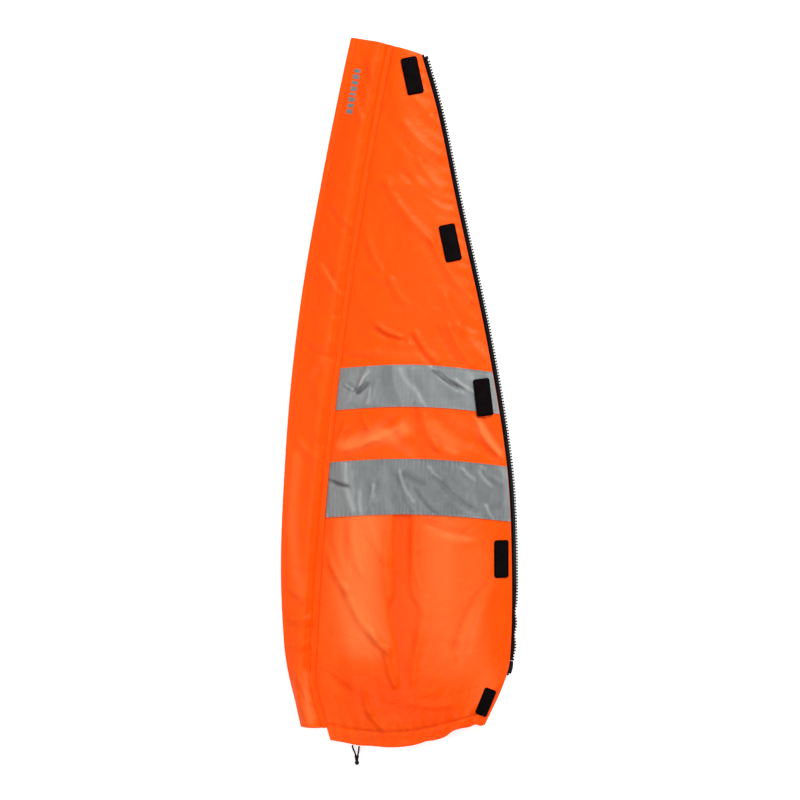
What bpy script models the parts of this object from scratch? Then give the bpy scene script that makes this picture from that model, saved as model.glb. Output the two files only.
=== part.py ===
"""Zip-in extension panel for a high-visibility winter jacket, laid flat on its lining.

A padded wedge of orange shell fabric with a zip half down each side. A storm flap
is sewn along the left seam and covers the left zip and its slider. Two reflective
tapes cross the panel, five loop patches sit beside the right zip, and a drawcord
runs in the hem. Metres, +Z up out of the shell, +Y towards the neck, origin in
the middle of the footprint on the surface that the lining rests on.
"""

import bmesh
import bpy
from math import asin, atan2, cos, pi, radians, sin
from mathutils import Matrix, Vector

# Overall sizes
LENGTH = 0.849
WIDTH = 0.285
GAP = 0.0003  # between pieces that touch

# Outlines, as shares of WIDTH right of the middle and of LENGTH above it
SEAM_TOP = (-0.0326, 0.4836)
SEAM_ZIP_END = (-0.3526, -0.3786)
SEAM_BOW = 0.0146  # how far the seam bulges left of its chord
SEAM_SWING = 0.33  # how steeply the seam turns in below the zip
SEAM_SWING_EASE = 0.008
SEAM_SWING_START = -0.022  # along the seam, from the zip's lower end
ZIP_EDGE = (
    (0.3579, -0.4694), (0.4340, -0.4139), (0.4642, -0.3737), (0.4705, -0.2350),
    (0.4500, -0.1030), (0.3650, 0.0737), (0.2390, 0.2674), (0.1593, 0.3953), (0.0912, 0.4770),
)
FLAP_WIDTHS = (  # share of LENGTH above the middle, width in metres
    (-0.4700, 0.0158), (-0.4360, 0.0233), (-0.4000, 0.0320), (-0.3600, 0.0388),
    (-0.2500, 0.0483), (-0.1000, 0.0537), (0.0000, 0.0562), (0.1300, 0.0568),
    (0.3000, 0.0538), (0.5000, 0.0508),
)
HEM_DROP = 0.0156  # how far the hem bows below the line between its corners
HEM_LEFT_CORNER = 0.0950  # along the seam, below the zip's lower end
NECK_OVER_ZIP = 0.0045  # the neck edge above the seam's upper end
FLAP_END = 0.0800  # the flap's lower edge, along the seam below the zip's lower end

# Heights of the padded body
EDGE_HEIGHT = 0.0050
CROWN_HEIGHTS = (  # share of LENGTH above the middle, rise of the middle over the edges
    (-0.5000, 0.0060), (-0.4300, 0.0150), (-0.3000, 0.0230), (-0.1500, 0.0210),
    (0.0500, 0.0150), (0.3000, 0.0080), (0.5000, 0.0045),
)
SHELL_WALL = 0.0006
LINING_WALL = 0.0005
LINING_LIFT = EDGE_HEIGHT - 0.0028  # the lining's edge, where it meets the zip tape
LINING_LIFT_WIDTH = 0.0100
WADDING_CLEAR = 0.0010  # from the zip tapes
HEM_TUNNEL = 0.0200
SHELL_TUCK = 0.0010  # the shell under the flap's sewn edge

# Reflective tapes: height of the lower edge at the seam, and the fall towards the zip
TAPE_WALL = 0.0004
TAPES = {
    "reflective_tape_upper": {"width": 0.0500, "left": -0.0215, "middle": -0.0175, "right": -0.0260},
    "reflective_tape_lower": {"width": 0.0660, "left": -0.1500, "middle": -0.1455, "right": -0.1550},
}

# Loop patches on the panel: centre from the zip edge, height as a share of LENGTH, lean
PATCH_LENGTH = 0.0450
PATCH_WALL = 0.0016
PATCH_CORNER = 0.0030
LOOP_PATCHES = {
    "loop_patch_neck": {"in": 0.0180, "at": 0.4516, "lean": 12.0, "width": 0.0200},
    "loop_patch_chest": {"in": 0.0180, "at": 0.2149, "lean": 12.0, "width": 0.0200},
    "loop_patch_waist": {"in": 0.0166, "at": -0.0041, "lean": 7.0, "width": 0.0200},
    "loop_patch_hip": {"in": 0.0125, "at": -0.2347, "lean": 0.0, "width": 0.0175},
    "loop_patch_hem": {"in": 0.0112, "at": -0.4426, "lean": -22.0, "width": 0.0150},
}
HEM_PATCH_LENGTH = 0.0340

# Storm flap: rise of its underside over the zip, and its plies
FLAP_RISE = (  # distance from the seam, height of the underside
    (-0.0010, EDGE_HEIGHT + 0.0010), (0.0030, EDGE_HEIGHT + 0.0008),
    (0.0070, EDGE_HEIGHT + 0.0016), (0.0110, EDGE_HEIGHT + 0.0033),
    (0.0150, EDGE_HEIGHT + 0.0054), (0.0180, EDGE_HEIGHT + 0.0058),
    (0.0215, EDGE_HEIGHT + 0.0054), (0.0250, EDGE_HEIGHT + 0.0042),
)
FLAP_EDGE_HEIGHT = 0.0012
FLAP_PLY = 0.0005
INTERLINING = 0.0010
FOLD_TOP = 0.0160  # the fold line's distance from the seam at the neck
FOLD_ZIP_END = 0.0130  # and level with the zip's lower end
TOPSTITCH = 0.0070
FLAP_TIP_WIDTH = 0.0040
HOOK_WIDTH = 0.0160
HOOK_WALL = 0.0013
HOOK_INSET = 0.0050
HOOK_PATCHES = {
    "hook_patch_neck": 0.4450,
    "hook_patch_chest": 0.2104,
    "hook_patch_waist": -0.0072,
    "hook_patch_hip": -0.2347,
}
PRINT_LENGTH = 0.0540
PRINT_WIDTH = 0.0080
PRINT_AT = 0.4160
PRINT_FROM_SEAM = 0.0355
PRINT_WALL = 0.0003

# Moulded zip
ZIP_MIDDLE = EDGE_HEIGHT - 0.0015
ZIP_TAPE_WALL = 0.0008
TAPE_SEWN = 0.0100
ZIP_TAPE_SHOWS = 0.0027
BEAD = 0.0012
TOOTH_LENGTH = 0.0038
TOOTH_WIDTH = 0.0019
TOOTH_PITCH = 0.0035
TOOTH_THICK = 0.0026
LEFT_CHAIN_AT = 0.0122  # bead's inner side, left of the seam
ZIP_TOP_MARGIN = 0.0080
STOP_LENGTH = 0.0036
STOP_WIDTH = 0.0026
STOP_PROUD = 0.0008  # thicker than the teeth, so that it stops the slider
PIN_LENGTH = 0.0150
PIN_WIDTH = 0.0024
END_FILM = 0.0180
BOX_LENGTH = 0.0090
BOX_THICK = 0.0058
SOCKET_WIDTH = 0.0030

# Slider and puller
WING = 0.0014
SLIDER_LENGTH = 0.0150
RIM = 0.0010
RUNNING = 0.0003
POST_WIDTH = 0.0018
POST_LENGTH = 0.0045
CROWN_WIDTH = 0.0024
CROWN_SPAN = 0.0080
CROWN_RISE = 0.0027
CROWN_WALL = 0.0012
SLIDER_REST = -0.0030
PULLER_BAR = 0.0011
PULLER_WIDTH = 0.0066
PULLER_LENGTH = 0.0200
PULLER_WINDOW = 0.0050
PULLER_WALL = 0.0012

# Drawcord
CORD = 0.0020
CORD_HEIGHT = LINING_WALL + GAP + CORD / 2
CORD_EXITS = (0.1425, 0.1847)  # shares across the hem, from its left corner
CORD_PROUD = 0.0020  # where the strands start, below the hem's edge
KNOT_AT = 0.1706
KNOT_DROP = 0.0153
KNOT_WIDTH = 0.0064
CORD_BALL_AT = 0.1722
CORD_BALL_DROP = 0.0219
BALL = 0.0054

ORANGE = (1.0, 0.10, 0.008, 1.0)
DARK_ORANGE = (0.80, 0.07, 0.006, 1.0)
SILVER = (0.42, 0.43, 0.42, 1.0)
BLACK = (0.012, 0.012, 0.013, 1.0)
WHITE = (0.75, 0.75, 0.72, 1.0)
CHARCOAL = (0.03, 0.03, 0.034, 1.0)
METAL = (0.35, 0.35, 0.36, 1.0)


def start_clean():
    """Remove the scene's objects and make the two collections."""
    for thing in list(bpy.data.objects):
        bpy.data.objects.remove(thing, do_unlink=True)
    made = []
    for name in ("jacket_extension_panel", "cutters"):
        collection = bpy.data.collections.new(name)
        bpy.context.scene.collection.children.link(collection)
        made.append(collection)
    return made


PARTS, CUTTERS = start_clean()


def finish_with(name, colour, roughness, metallic=0.0):
    """One Principled material."""
    material = bpy.data.materials.new(name)
    material.use_nodes = True
    shader = material.node_tree.nodes["Principled BSDF"]
    shader.inputs["Base Color"].default_value = colour
    shader.inputs["Roughness"].default_value = roughness
    shader.inputs["Metallic"].default_value = metallic
    return material


SHELL = finish_with("orange shell fabric", ORANGE, 0.65)
FACING = finish_with("orange facing fabric", DARK_ORANGE, 0.75)
REFLECTIVE = finish_with("reflective tape", SILVER, 0.45, 0.3)
TEXTILE = finish_with("black textile", BLACK, 0.85)
MOULDED = finish_with("black moulded plastic", BLACK, 0.4)
FILLING = finish_with("polyester wadding", WHITE, 0.95)
LINING = finish_with("lining fabric", CHARCOAL, 0.6)
CAST = finish_with("coated cast metal", METAL, 0.35, 0.9)


# Curves that the outlines follow

def smooth(table, at):
    """Value at a place in a table of (place, value), on a curve through its points."""
    if at <= table[0][0]:
        slope = (table[1][1] - table[0][1]) / (table[1][0] - table[0][0])
        return table[0][1] + slope * (at - table[0][0])
    if at >= table[-1][0]:
        slope = (table[-1][1] - table[-2][1]) / (table[-1][0] - table[-2][0])
        return table[-1][1] + slope * (at - table[-1][0])
    k = max(i for i in range(len(table) - 1) if table[i][0] <= at)
    slopes = []
    for i in (k, k + 1):
        low, high = max(i - 1, 0), min(i + 1, len(table) - 1)
        slopes.append((table[high][1] - table[low][1]) / (table[high][0] - table[low][0]))
    span = table[k + 1][0] - table[k][0]
    t = (at - table[k][0]) / span
    start = table[k][1] * (2 * t**3 - 3 * t**2 + 1) + table[k + 1][1] * (3 * t**2 - 2 * t**3)
    return start + span * (slopes[0] * (t**3 - 2 * t**2 + t) + slopes[1] * (t**3 - t**2))


class Seam:
    """The left seam: an arc from the zip's lower end to the neck, seen from its centre."""

    def __init__(self):
        top = Vector((SEAM_TOP[0] * WIDTH, SEAM_TOP[1] * LENGTH))
        low = Vector((SEAM_ZIP_END[0] * WIDTH, SEAM_ZIP_END[1] * LENGTH))
        chord = top - low
        half = chord.length / 2
        self.radius = (half**2 + SEAM_BOW**2) / (2 * SEAM_BOW)
        right = Vector((chord.y, -chord.x)).normalized()
        self.centre = (top + low) / 2 + right * (self.radius - SEAM_BOW)
        self.start = atan2(low.y - self.centre.y, low.x - self.centre.x) % (2 * pi)
        self.length = 2 * self.radius * atan2(half, self.radius - SEAM_BOW)

    def point(self, along, out):
        """A place: along the seam above the zip's lower end, and out to its left."""
        angle = self.start - along / self.radius
        reach = self.radius + out
        return Vector((self.centre.x + reach * cos(angle), self.centre.y + reach * sin(angle)))

    def turn(self, along):
        """The seam's lean at a place, as a turn about +Z from straight up."""
        return self.start - along / self.radius - pi

    def swing(self, along):
        """How far the sewn line lies right of the arc, near the hem."""
        below = max(SEAM_SWING_START - along, 0.0)
        return SEAM_SWING * below**2 / (below + SEAM_SWING_EASE)

    def along_at(self, y):
        """The place along the seam at a height y."""
        return (self.start - pi + asin((y - self.centre.y) / self.radius)) * self.radius


SEAM = Seam()


class ZipEdge:
    """The panel's right edge, measured along its length from the zip's lower end."""

    def __init__(self):
        table = [(y * LENGTH, x * WIDTH) for x, y in ZIP_EDGE]
        low, high = table[0][0], table[-1][0]
        steps = 240
        self.points = []
        for k in range(steps + 1):
            y = low + (high - low) * k / steps
            self.points.append(Vector((smooth(table, y), y)))
        self.lengths = [0.0]
        for a, b in zip(self.points, self.points[1:]):
            self.lengths.append(self.lengths[-1] + (b - a).length)
        zip_end = SEAM_ZIP_END[1] * LENGTH
        at = min(range(steps), key=lambda k: abs(self.points[k].y - zip_end))
        self.lengths = [length - self.lengths[at] for length in self.lengths]
        self.low, self.high = self.lengths[0], self.lengths[-1]

    def point(self, along, out):
        """A place: along the edge above the zip's lower end, and out to its right."""
        k = max(0, min(len(self.points) - 2, sum(1 for s in self.lengths if s <= along) - 1))
        a, b = self.points[k], self.points[k + 1]
        way = (b - a).normalized()
        return a + way * (along - self.lengths[k]) + Vector((way.y, -way.x)) * out

    def along_at(self, y):
        """The place along the edge at a height y."""
        k = max(0, min(len(self.points) - 2, sum(1 for p in self.points if p.y <= y) - 1))
        a, b = self.points[k], self.points[k + 1]
        return self.lengths[k] + (y - a.y) / (b.y - a.y) * (self.lengths[k + 1] - self.lengths[k])

    def x_at(self, y):
        return self.point(self.along_at(y), 0.0).x


EDGE = ZipEdge()
NECK_ALONG = SEAM.length + NECK_OVER_ZIP
RIGHT_HEM = EDGE.points[0]
RIGHT_NECK = EDGE.points[-1]


def seam_x(y):
    along = SEAM.along_at(y)
    return SEAM.point(along, -SEAM.swing(along)).x


def flap_width(along):
    return smooth(FLAP_WIDTHS, SEAM.point(along, 0.0).y / LENGTH)


# Heights of the surfaces

def shell_top(place):
    """Height of the padded panel's upper surface."""
    left = seam_x(place.y) - SHELL_TUCK
    right = EDGE.x_at(place.y)
    across = min(1.0, max(0.0, (place.x - left) / (right - left)))
    return EDGE_HEIGHT + smooth(CROWN_HEIGHTS, place.y / LENGTH) * sin(pi * across)


def lining_bottom(place):
    """Height of the lining's underside, which lifts to the zip tapes at its edges."""
    inside = min(place.x - seam_x(place.y) + SHELL_TUCK, EDGE.x_at(place.y) - place.x)
    t = min(1.0, max(0.0, inside / LINING_LIFT_WIDTH))
    return LINING_LIFT * (1 - t * t * (3 - 2 * t))


def flap_under(out, width):
    """Height of the flap's underside, out from the seam on a flap of this width."""
    last, height = FLAP_RISE[-1]
    if out <= last:
        return smooth(FLAP_RISE, out)
    return height + (FLAP_EDGE_HEIGHT - height) * (out - last) / (width - last)


# Modelling helpers

def keep(mesh_name, bm, material, origin=(0, 0, 0), turn=0.0):
    """Store a bmesh as an object in the parts collection."""
    mesh = bpy.data.meshes.new(mesh_name)
    bmesh.ops.recalc_face_normals(bm, faces=bm.faces)
    bm.to_mesh(mesh)
    bm.free()
    mesh.materials.append(material)
    thing = bpy.data.objects.new(mesh_name, mesh)
    thing.location = origin
    thing.rotation_euler = (0, 0, turn)
    PARTS.objects.link(thing)
    return thing


def slab(name, material, across, along, place, bottom, top):
    """A closed sheet: a grid laid out by place(u, v), between two height functions."""
    bm = bmesh.new()
    bmesh.ops.create_grid(bm, x_segments=across, y_segments=along, size=0.5)
    shares = {v: (v.co.x + 0.5, v.co.y + 0.5) for v in bm.verts}
    lower = list(bm.verts)
    made = bmesh.ops.extrude_face_region(bm, geom=list(bm.faces), use_keep_orig=True)["geom"]
    upper = [v for v in made if isinstance(v, bmesh.types.BMVert)]
    for v in upper:
        shares[v] = (v.co.x + 0.5, v.co.y + 0.5)
    for group, height in ((lower, bottom), (upper, top)):
        for v in group:
            u, w = shares[v]
            spot = place(min(1.0, max(0.0, u)), min(1.0, max(0.0, w)))
            v.co = (spot.x, spot.y, height(spot, u, w))
    return keep(name, bm, material)


def outline_solid(name, points, low, high, material):
    """A flat outline with thickness, as a filled 2D curve made a mesh."""
    curve = bpy.data.curves.new(name, "CURVE")
    curve.dimensions = "2D"
    curve.fill_mode = "BOTH"
    curve.extrude = (high - low) / 2
    spline = curve.splines.new("POLY")
    spline.points.add(len(points) - 1)
    for slot, spot in zip(spline.points, points):
        slot.co = (spot[0], spot[1], 0.0, 1.0)
    spline.use_cyclic_u = True
    helper = bpy.data.objects.new(name + "_outline", curve)
    CUTTERS.objects.link(helper)
    bpy.context.view_layer.update()
    shape = helper.evaluated_get(bpy.context.evaluated_depsgraph_get())
    mesh = bpy.data.meshes.new_from_object(shape)
    bpy.data.objects.remove(helper, do_unlink=True)
    bm = bmesh.new()
    bm.from_mesh(mesh)
    bmesh.ops.remove_doubles(bm, verts=bm.verts, dist=0.000001)
    bmesh.ops.translate(bm, verts=bm.verts, vec=(0, 0, (high + low) / 2))
    return keep(name, bm, material)


def block(name, size, middle, material):
    """A box from its size and its middle."""
    bm = bmesh.new()
    bmesh.ops.create_cube(bm, size=1.0)
    bmesh.ops.scale(bm, vec=size, verts=bm.verts)
    bmesh.ops.translate(bm, vec=middle, verts=bm.verts)
    return keep(name, bm, material)


def combine(thing, other, how):
    """Cut or join one piece with another, which becomes a hidden cutter."""
    PARTS.objects.unlink(other)
    CUTTERS.objects.link(other)
    other.hide_render = True
    other.display_type = "WIRE"
    modifier = thing.modifiers.new(other.name, "BOOLEAN")
    modifier.operation = how
    modifier.object = other


def tube(name, points, diameter, material):
    """A round cord along points."""
    curve = bpy.data.curves.new(name, "CURVE")
    curve.dimensions = "3D"
    curve.bevel_depth = diameter / 2
    curve.bevel_resolution = 2
    curve.use_fill_caps = True
    spline = curve.splines.new("POLY")
    spline.points.add(len(points) - 1)
    for slot, spot in zip(spline.points, points):
        slot.co = (spot[0], spot[1], spot[2], 1.0)
    curve.materials.append(material)
    thing = bpy.data.objects.new(name, curve)
    PARTS.objects.link(thing)
    return thing


def rounded(width, height, corner, steps=3):
    """Points of a rectangle with round corners, about its middle."""
    points = []
    for k, (sx, sy) in enumerate(((1, 1), (-1, 1), (-1, -1), (1, -1))):
        for step in range(steps + 1):
            angle = (k + step / steps) * pi / 2
            x = sx * (width / 2 - corner) + corner * cos(angle)
            y = sy * (height / 2 - corner) + corner * sin(angle)
            points.append((x, y))
    return points


# Padded panel

def crowded(u, width, border, share):
    """Move a share of the columns on each side into a border of fixed width."""
    if u < share:
        return border * u / share / width
    if u > 1 - share:
        return 1 - border * (1 - u) / share / width
    return (border + (width - 2 * border) * (u - share) / (1 - 2 * share)) / width


def panel_place(low_along, high_along, inset=0.0, drop=0.0, border=0.0):
    """Layout of a panel layer between two places along the seam, inset from its sides."""
    def place(u, v):
        along = low_along + (high_along - low_along) * v
        left = SEAM.point(along, SHELL_TUCK - SEAM.swing(along) - inset)
        share = (along + HEM_LEFT_CORNER) / (NECK_ALONG + HEM_LEFT_CORNER)
        right_y = RIGHT_HEM.y + (RIGHT_NECK.y - RIGHT_HEM.y) * share
        right = EDGE.point(EDGE.along_at(right_y), -inset)
        bow = drop * sin(pi * u) * (1 - v) ** 6
        if border:
            u = crowded(u, (right - left).length, border, 1 / 6)
        return left.lerp(right, u) - Vector((0.0, bow))
    return place


def make_panel():
    """Shell, wadding, lining and the hem's turned-up facing."""
    hem, neck = -HEM_LEFT_CORNER, NECK_ALONG
    tunnel = hem + HEM_TUNNEL
    whole = panel_place(hem, neck, drop=HEM_DROP)
    slab("shell_panel", SHELL, 12, 28, whole,
         lambda spot, u, v: shell_top(spot) - SHELL_WALL,
         lambda spot, u, v: shell_top(spot))
    inset = TAPE_SEWN + SHELL_TUCK + WADDING_CLEAR
    slab("wadding", FILLING, 10, 24, panel_place(tunnel + GAP, neck - HEM_TUNNEL / 2, inset),
         lambda spot, u, v: LINING_WALL + GAP,
         lambda spot, u, v: shell_top(spot) - SHELL_WALL - 2 * GAP)
    slab("lining_panel", LINING, 12, 24, panel_place(tunnel, neck, border=LINING_LIFT_WIDTH),
         lambda spot, u, v: lining_bottom(spot),
         lambda spot, u, v: lining_bottom(spot) + LINING_WALL)
    reach = HEM_TUNNEL - 2 * GAP
    def facing_place(u, v):
        spot = whole(u, 0.0)
        top = panel_place(tunnel, neck)(u, 0.0)
        return spot.lerp(top, v * reach / HEM_TUNNEL)
    slab("hem_facing", SHELL, 10, 1, facing_place,
         lambda spot, u, v: 0.0,
         lambda spot, u, v: LINING_WALL)


def make_reflective_tapes():
    """Two bands across the panel, from the flap's sewn edge to the zip edge."""
    for name, tape in TAPES.items():
        rise = (tape["left"] + tape["right"]) / 2
        bow = tape["middle"] - rise

        def place(u, v, tape=tape, bow=bow):
            y = tape["left"] + (tape["right"] - tape["left"]) * u + bow * sin(pi * u)
            y = y + tape["width"] * v
            left = seam_x(y) + 2 * GAP
            right = EDGE.x_at(y) - GAP
            return Vector((left + (right - left) * u, y))
        slab(name, REFLECTIVE, 12, 3, place,
             lambda spot, u, v: shell_top(spot) + GAP,
             lambda spot, u, v: shell_top(spot) + GAP + TAPE_WALL)


def rest_on_shell(thing, middle, lean, lift):
    """Lay a flat patch on the panel, tilted as the panel is there."""
    step = 0.004
    rise_x = (shell_top(middle + Vector((step, 0))) - shell_top(middle - Vector((step, 0)))) / (2 * step)
    rise_y = (shell_top(middle + Vector((0, step))) - shell_top(middle - Vector((0, step)))) / (2 * step)
    normal = Vector((-rise_x, -rise_y, 1.0)).normalized()
    tilt = normal.to_track_quat("Z", "Y").to_matrix().to_4x4()
    up = (tilt.inverted() @ Vector((0, 1, 0))).to_2d()
    lay = Matrix.Rotation(radians(lean) - atan2(up.x, up.y), 4, "Z")
    foot = Vector((middle.x, middle.y, shell_top(middle))) + normal * lift
    thing.matrix_world = Matrix.Translation(foot) @ tilt @ lay


def patch_middle(patch):
    y = patch["at"] * LENGTH
    return EDGE.point(EDGE.along_at(y), -patch["in"])


def make_loop_patches():
    """Loop halves of hook-and-loop, beside the right zip."""
    for name, patch in LOOP_PATCHES.items():
        length = HEM_PATCH_LENGTH if name == "loop_patch_hem" else PATCH_LENGTH
        middle = patch_middle(patch)
        lift = 2 * GAP
        tape = TAPES["reflective_tape_upper"]
        if tape["right"] - length < middle.y < tape["right"] + tape["width"] + length:
            lift = lift + TAPE_WALL + GAP
        points = rounded(patch["width"], length, PATCH_CORNER)
        thing = outline_solid(name, points, 0.0, PATCH_WALL, TEXTILE)
        rest_on_shell(thing, middle, patch["lean"], lift)


# Storm flap

class FoldLine:
    """The straight line that the flap turns about, through two places beside the seam."""

    def __init__(self):
        self.low = SEAM.point(0.0, FOLD_ZIP_END)
        self.high = SEAM.point(SEAM.length, FOLD_TOP)
        self.way = (self.high - self.low).normalized()
        self.height = FLAP_RISE[2][1] + FLAP_PLY

    def out_at(self, along):
        """The line's distance from the arc of the seam, at a place along it."""
        foot = SEAM.point(along, 0.0)
        side = (SEAM.point(along, 1.0) - foot).normalized()
        gap = self.low - foot
        return (gap.x * self.way.y - gap.y * self.way.x) / (side.x * self.way.y - side.y * self.way.x)


FOLD = FoldLine()


def fixed_width(along):
    """Width of the flap that stays sewn down, out from the arc of the seam."""
    line = FOLD.out_at(along)
    stitched = TOPSTITCH - SEAM.swing(along)
    return max(line, stitched)


def flap_tip():
    """The place where the fold line runs out at the flap's outer edge."""
    along = 0.0
    while flap_width(along) - fixed_width(along) > FLAP_TIP_WIDTH and along > -FLAP_END:
        along = along - 0.0005
    return along


def flap_place(low_along, high_along, inner, outer):
    """Layout of a flap layer between two widths, out from the seam."""
    def place(u, v):
        along = low_along + (high_along - low_along) * v
        return SEAM.point(along, outer(along) + (inner(along) - outer(along)) * u)
    return place


def out_of(spot):
    """A place's distance left of the seam's arc, and its place along it."""
    away = Vector((spot.x - SEAM.centre.x, spot.y - SEAM.centre.y))
    angle = atan2(away.y, away.x) % (2 * pi)
    return away.length - SEAM.radius, (SEAM.start - angle) * SEAM.radius


def under_flap(spot):
    out, along = out_of(spot)
    return flap_under(out + SEAM.swing(along), flap_width(along) + SEAM.swing(along))


def flap_stack():
    """Heights of the flap's plies above its underside: name, bottom, top, material."""
    facing_top = FLAP_PLY
    soft_top = facing_top + GAP + INTERLINING
    return (
        ("storm_flap_facing", 0.0, facing_top, FACING),
        ("flap_interlining", facing_top + GAP, soft_top, FILLING),
        ("storm_flap_outer", soft_top + GAP, soft_top + GAP + FLAP_PLY, SHELL),
    )


def make_flap():
    """The flap's three plies, and its sewn edge that stays on the panel."""
    tip = flap_tip()
    inner = lambda along: fixed_width(along) + GAP
    lay = flap_place(tip, NECK_ALONG, inner, flap_width)
    for name, low, high, material in flap_stack():
        slab(name, material, 7, 22, lay,
             lambda spot, u, v, low=low: under_flap(spot) + low,
             lambda spot, u, v, high=high: under_flap(spot) + high)
    top = flap_stack()[-1][2]
    lip = lambda along: -SEAM.swing(along)
    edge = lambda along: min(fixed_width(along), flap_width(along))
    lay = flap_place(-FLAP_END, NECK_ALONG, lip, edge)
    slab("flap_seam_strip", SHELL, 3, 30, lay,
         lambda spot, u, v: under_flap(spot),
         lambda spot, u, v: under_flap(spot) + top)


def make_flap_print():
    """Generic reflective bar print near the flap's upper end."""
    top = flap_stack()[-1][2]
    middle = SEAM.along_at(PRINT_AT * LENGTH)
    low, high = middle - PRINT_LENGTH / 2, middle + PRINT_LENGTH / 2
    lay = flap_place(low, high,
                     lambda along: PRINT_FROM_SEAM - PRINT_WIDTH / 2,
                     lambda along: PRINT_FROM_SEAM + PRINT_WIDTH / 2)
    slab("flap_print", REFLECTIVE, 1, 3, lay,
         lambda spot, u, v: under_flap(spot) + top + GAP,
         lambda spot, u, v: under_flap(spot) + top + GAP + PRINT_WALL)


def make_hook_patches():
    """Hook halves under the flap, level with the panel's loop patches."""
    for name, share in HOOK_PATCHES.items():
        along = SEAM.along_at(share * LENGTH)
        width = flap_width(along)
        out = width - HOOK_INSET - HOOK_WIDTH / 2
        near = flap_under(out - HOOK_WIDTH / 2, width)
        far = flap_under(out + HOOK_WIDTH / 2, width)
        tilt = atan2(near - far, HOOK_WIDTH)
        points = rounded(HOOK_WIDTH, PATCH_LENGTH, PATCH_CORNER)
        thing = outline_solid(name, points, -HOOK_WALL, 0.0, TEXTILE)
        middle = SEAM.point(along, out)
        foot = Vector((middle.x, middle.y, (near + far) / 2 - 2 * GAP))
        lean = Matrix.Rotation(SEAM.turn(along), 4, "Z") @ Matrix.Rotation(-tilt, 4, "Y")
        thing.matrix_world = Matrix.Translation(foot) @ lean


# Zips

def comb_outline(line, start, stop, inner):
    """Outline of a bead with moulded teeth, beside a line."""
    points = [line.point(start + (stop - start) * k / 30, inner) for k in range(31)]
    bead = inner + BEAD
    count = int((stop - start) / TOOTH_PITCH)
    for k in reversed(range(count)):
        middle = start + (k + 0.5) * TOOTH_PITCH
        high, low = middle + TOOTH_WIDTH / 2, middle - TOOTH_WIDTH / 2
        for along, out in ((high, bead), (high, bead + TOOTH_LENGTH), (low, bead + TOOTH_LENGTH), (low, bead)):
            points.append(line.point(along, out))
    return points


def zip_low():
    return ZIP_MIDDLE - TOOTH_THICK / 2


def zip_high():
    return ZIP_MIDDLE + TOOTH_THICK / 2


def strip_on(name, line, start, stop, inner, outer, low, high, material, parts):
    """A flat strip beside a line."""
    def place(u, v):
        return line.point(start + (stop - start) * v, inner + (outer - inner) * u)
    return slab(name, material, 1, parts, place, lambda spot, u, v: low, lambda spot, u, v: high)


def make_zip_half(side, line, chain_at, stop):
    """Tape, teeth, top stop and lower end of one zip half."""
    low, high = zip_low(), zip_high()
    half = ZIP_TAPE_WALL / 2
    flat = (ZIP_MIDDLE - half, ZIP_MIDDLE + half)
    outer = chain_at - GAP
    strip_on(side + "_zip_tape", line, GAP, stop + 2 * STOP_LENGTH, -TAPE_SEWN, outer, *flat, TEXTILE, 30)
    outline_solid(side + "_zip_teeth", comb_outline(line, GAP, stop, chain_at), low, high, MOULDED)
    strip_on(side + "_zip_top_stop", line, stop + GAP, stop + GAP + STOP_LENGTH, chain_at,
             chain_at + BEAD + STOP_WIDTH, low - STOP_PROUD, high + STOP_PROUD, MOULDED, 1)
    strip_on(side + "_zip_end_film", line, -END_FILM, 0.0, -TAPE_SEWN, outer, *flat, MOULDED, 2)


def make_zips():
    """Both zip halves, the pin of the right one and the pin and box of the left."""
    low, high = zip_low(), zip_high()
    right_at = ZIP_TAPE_SHOWS + GAP
    make_zip_half("right", EDGE, right_at, EDGE.high - ZIP_TOP_MARGIN)
    make_zip_half("left", SEAM, LEFT_CHAIN_AT, SEAM.length - ZIP_TOP_MARGIN)
    strip_on("right_zip_pin", EDGE, -PIN_LENGTH, 0.0, right_at, right_at + PIN_WIDTH, low, high, MOULDED, 2)
    strip_on("left_zip_pin", SEAM, -PIN_LENGTH + BOX_LENGTH * 0.4, 0.0,
             LEFT_CHAIN_AT, LEFT_CHAIN_AT + PIN_WIDTH, low, high, MOULDED, 2)
    make_retainer_box()


def make_retainer_box():
    """The box at the zip's lower end, with a socket for the other half's pin."""
    start = -PIN_LENGTH + BOX_LENGTH * 0.4 - GAP
    inner, outer = LEFT_CHAIN_AT - GAP / 2, slider_middle() + channel_half() + RIM
    low, high = ZIP_MIDDLE - BOX_THICK / 2, ZIP_MIDDLE + BOX_THICK / 2
    box = strip_on("left_zip_box", SEAM, start - BOX_LENGTH, start, inner, outer, low, high, MOULDED, 1)
    near = slider_middle() + POST_WIDTH / 2
    socket = strip_on("pin_socket", SEAM, start - BOX_LENGTH * 0.7, start + 0.001,
                      near, near + SOCKET_WIDTH, zip_low() - GAP, zip_high() + GAP, MOULDED, 1)
    combine(box, socket, "DIFFERENCE")


# Slider and puller

def slider_middle():
    """The slider's centre line, left of the seam."""
    return LEFT_CHAIN_AT + BEAD + TOOTH_LENGTH + RUNNING + POST_WIDTH / 2


def channel_half():
    return slider_middle() - LEFT_CHAIN_AT + RUNNING


def slider_frame():
    """Placement of the slider at rest: its middle, turned to the seam."""
    spot = SEAM.point(SLIDER_REST, slider_middle())
    return Matrix.Translation((spot.x, spot.y, 0.0)) @ Matrix.Rotation(SEAM.turn(SLIDER_REST), 4, "Z")


def lane_outline(half):
    """Outline of the slider's hollow, open at both ends, round its dividing post."""
    end = SLIDER_LENGTH / 2 + 0.001
    post, foot = POST_WIDTH / 2, SLIDER_LENGTH / 2 - POST_LENGTH
    return [(-half, -end), (half, -end), (half, end), (post, end),
            (post, foot), (-post, foot), (-post, end), (-half, end)]


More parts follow.
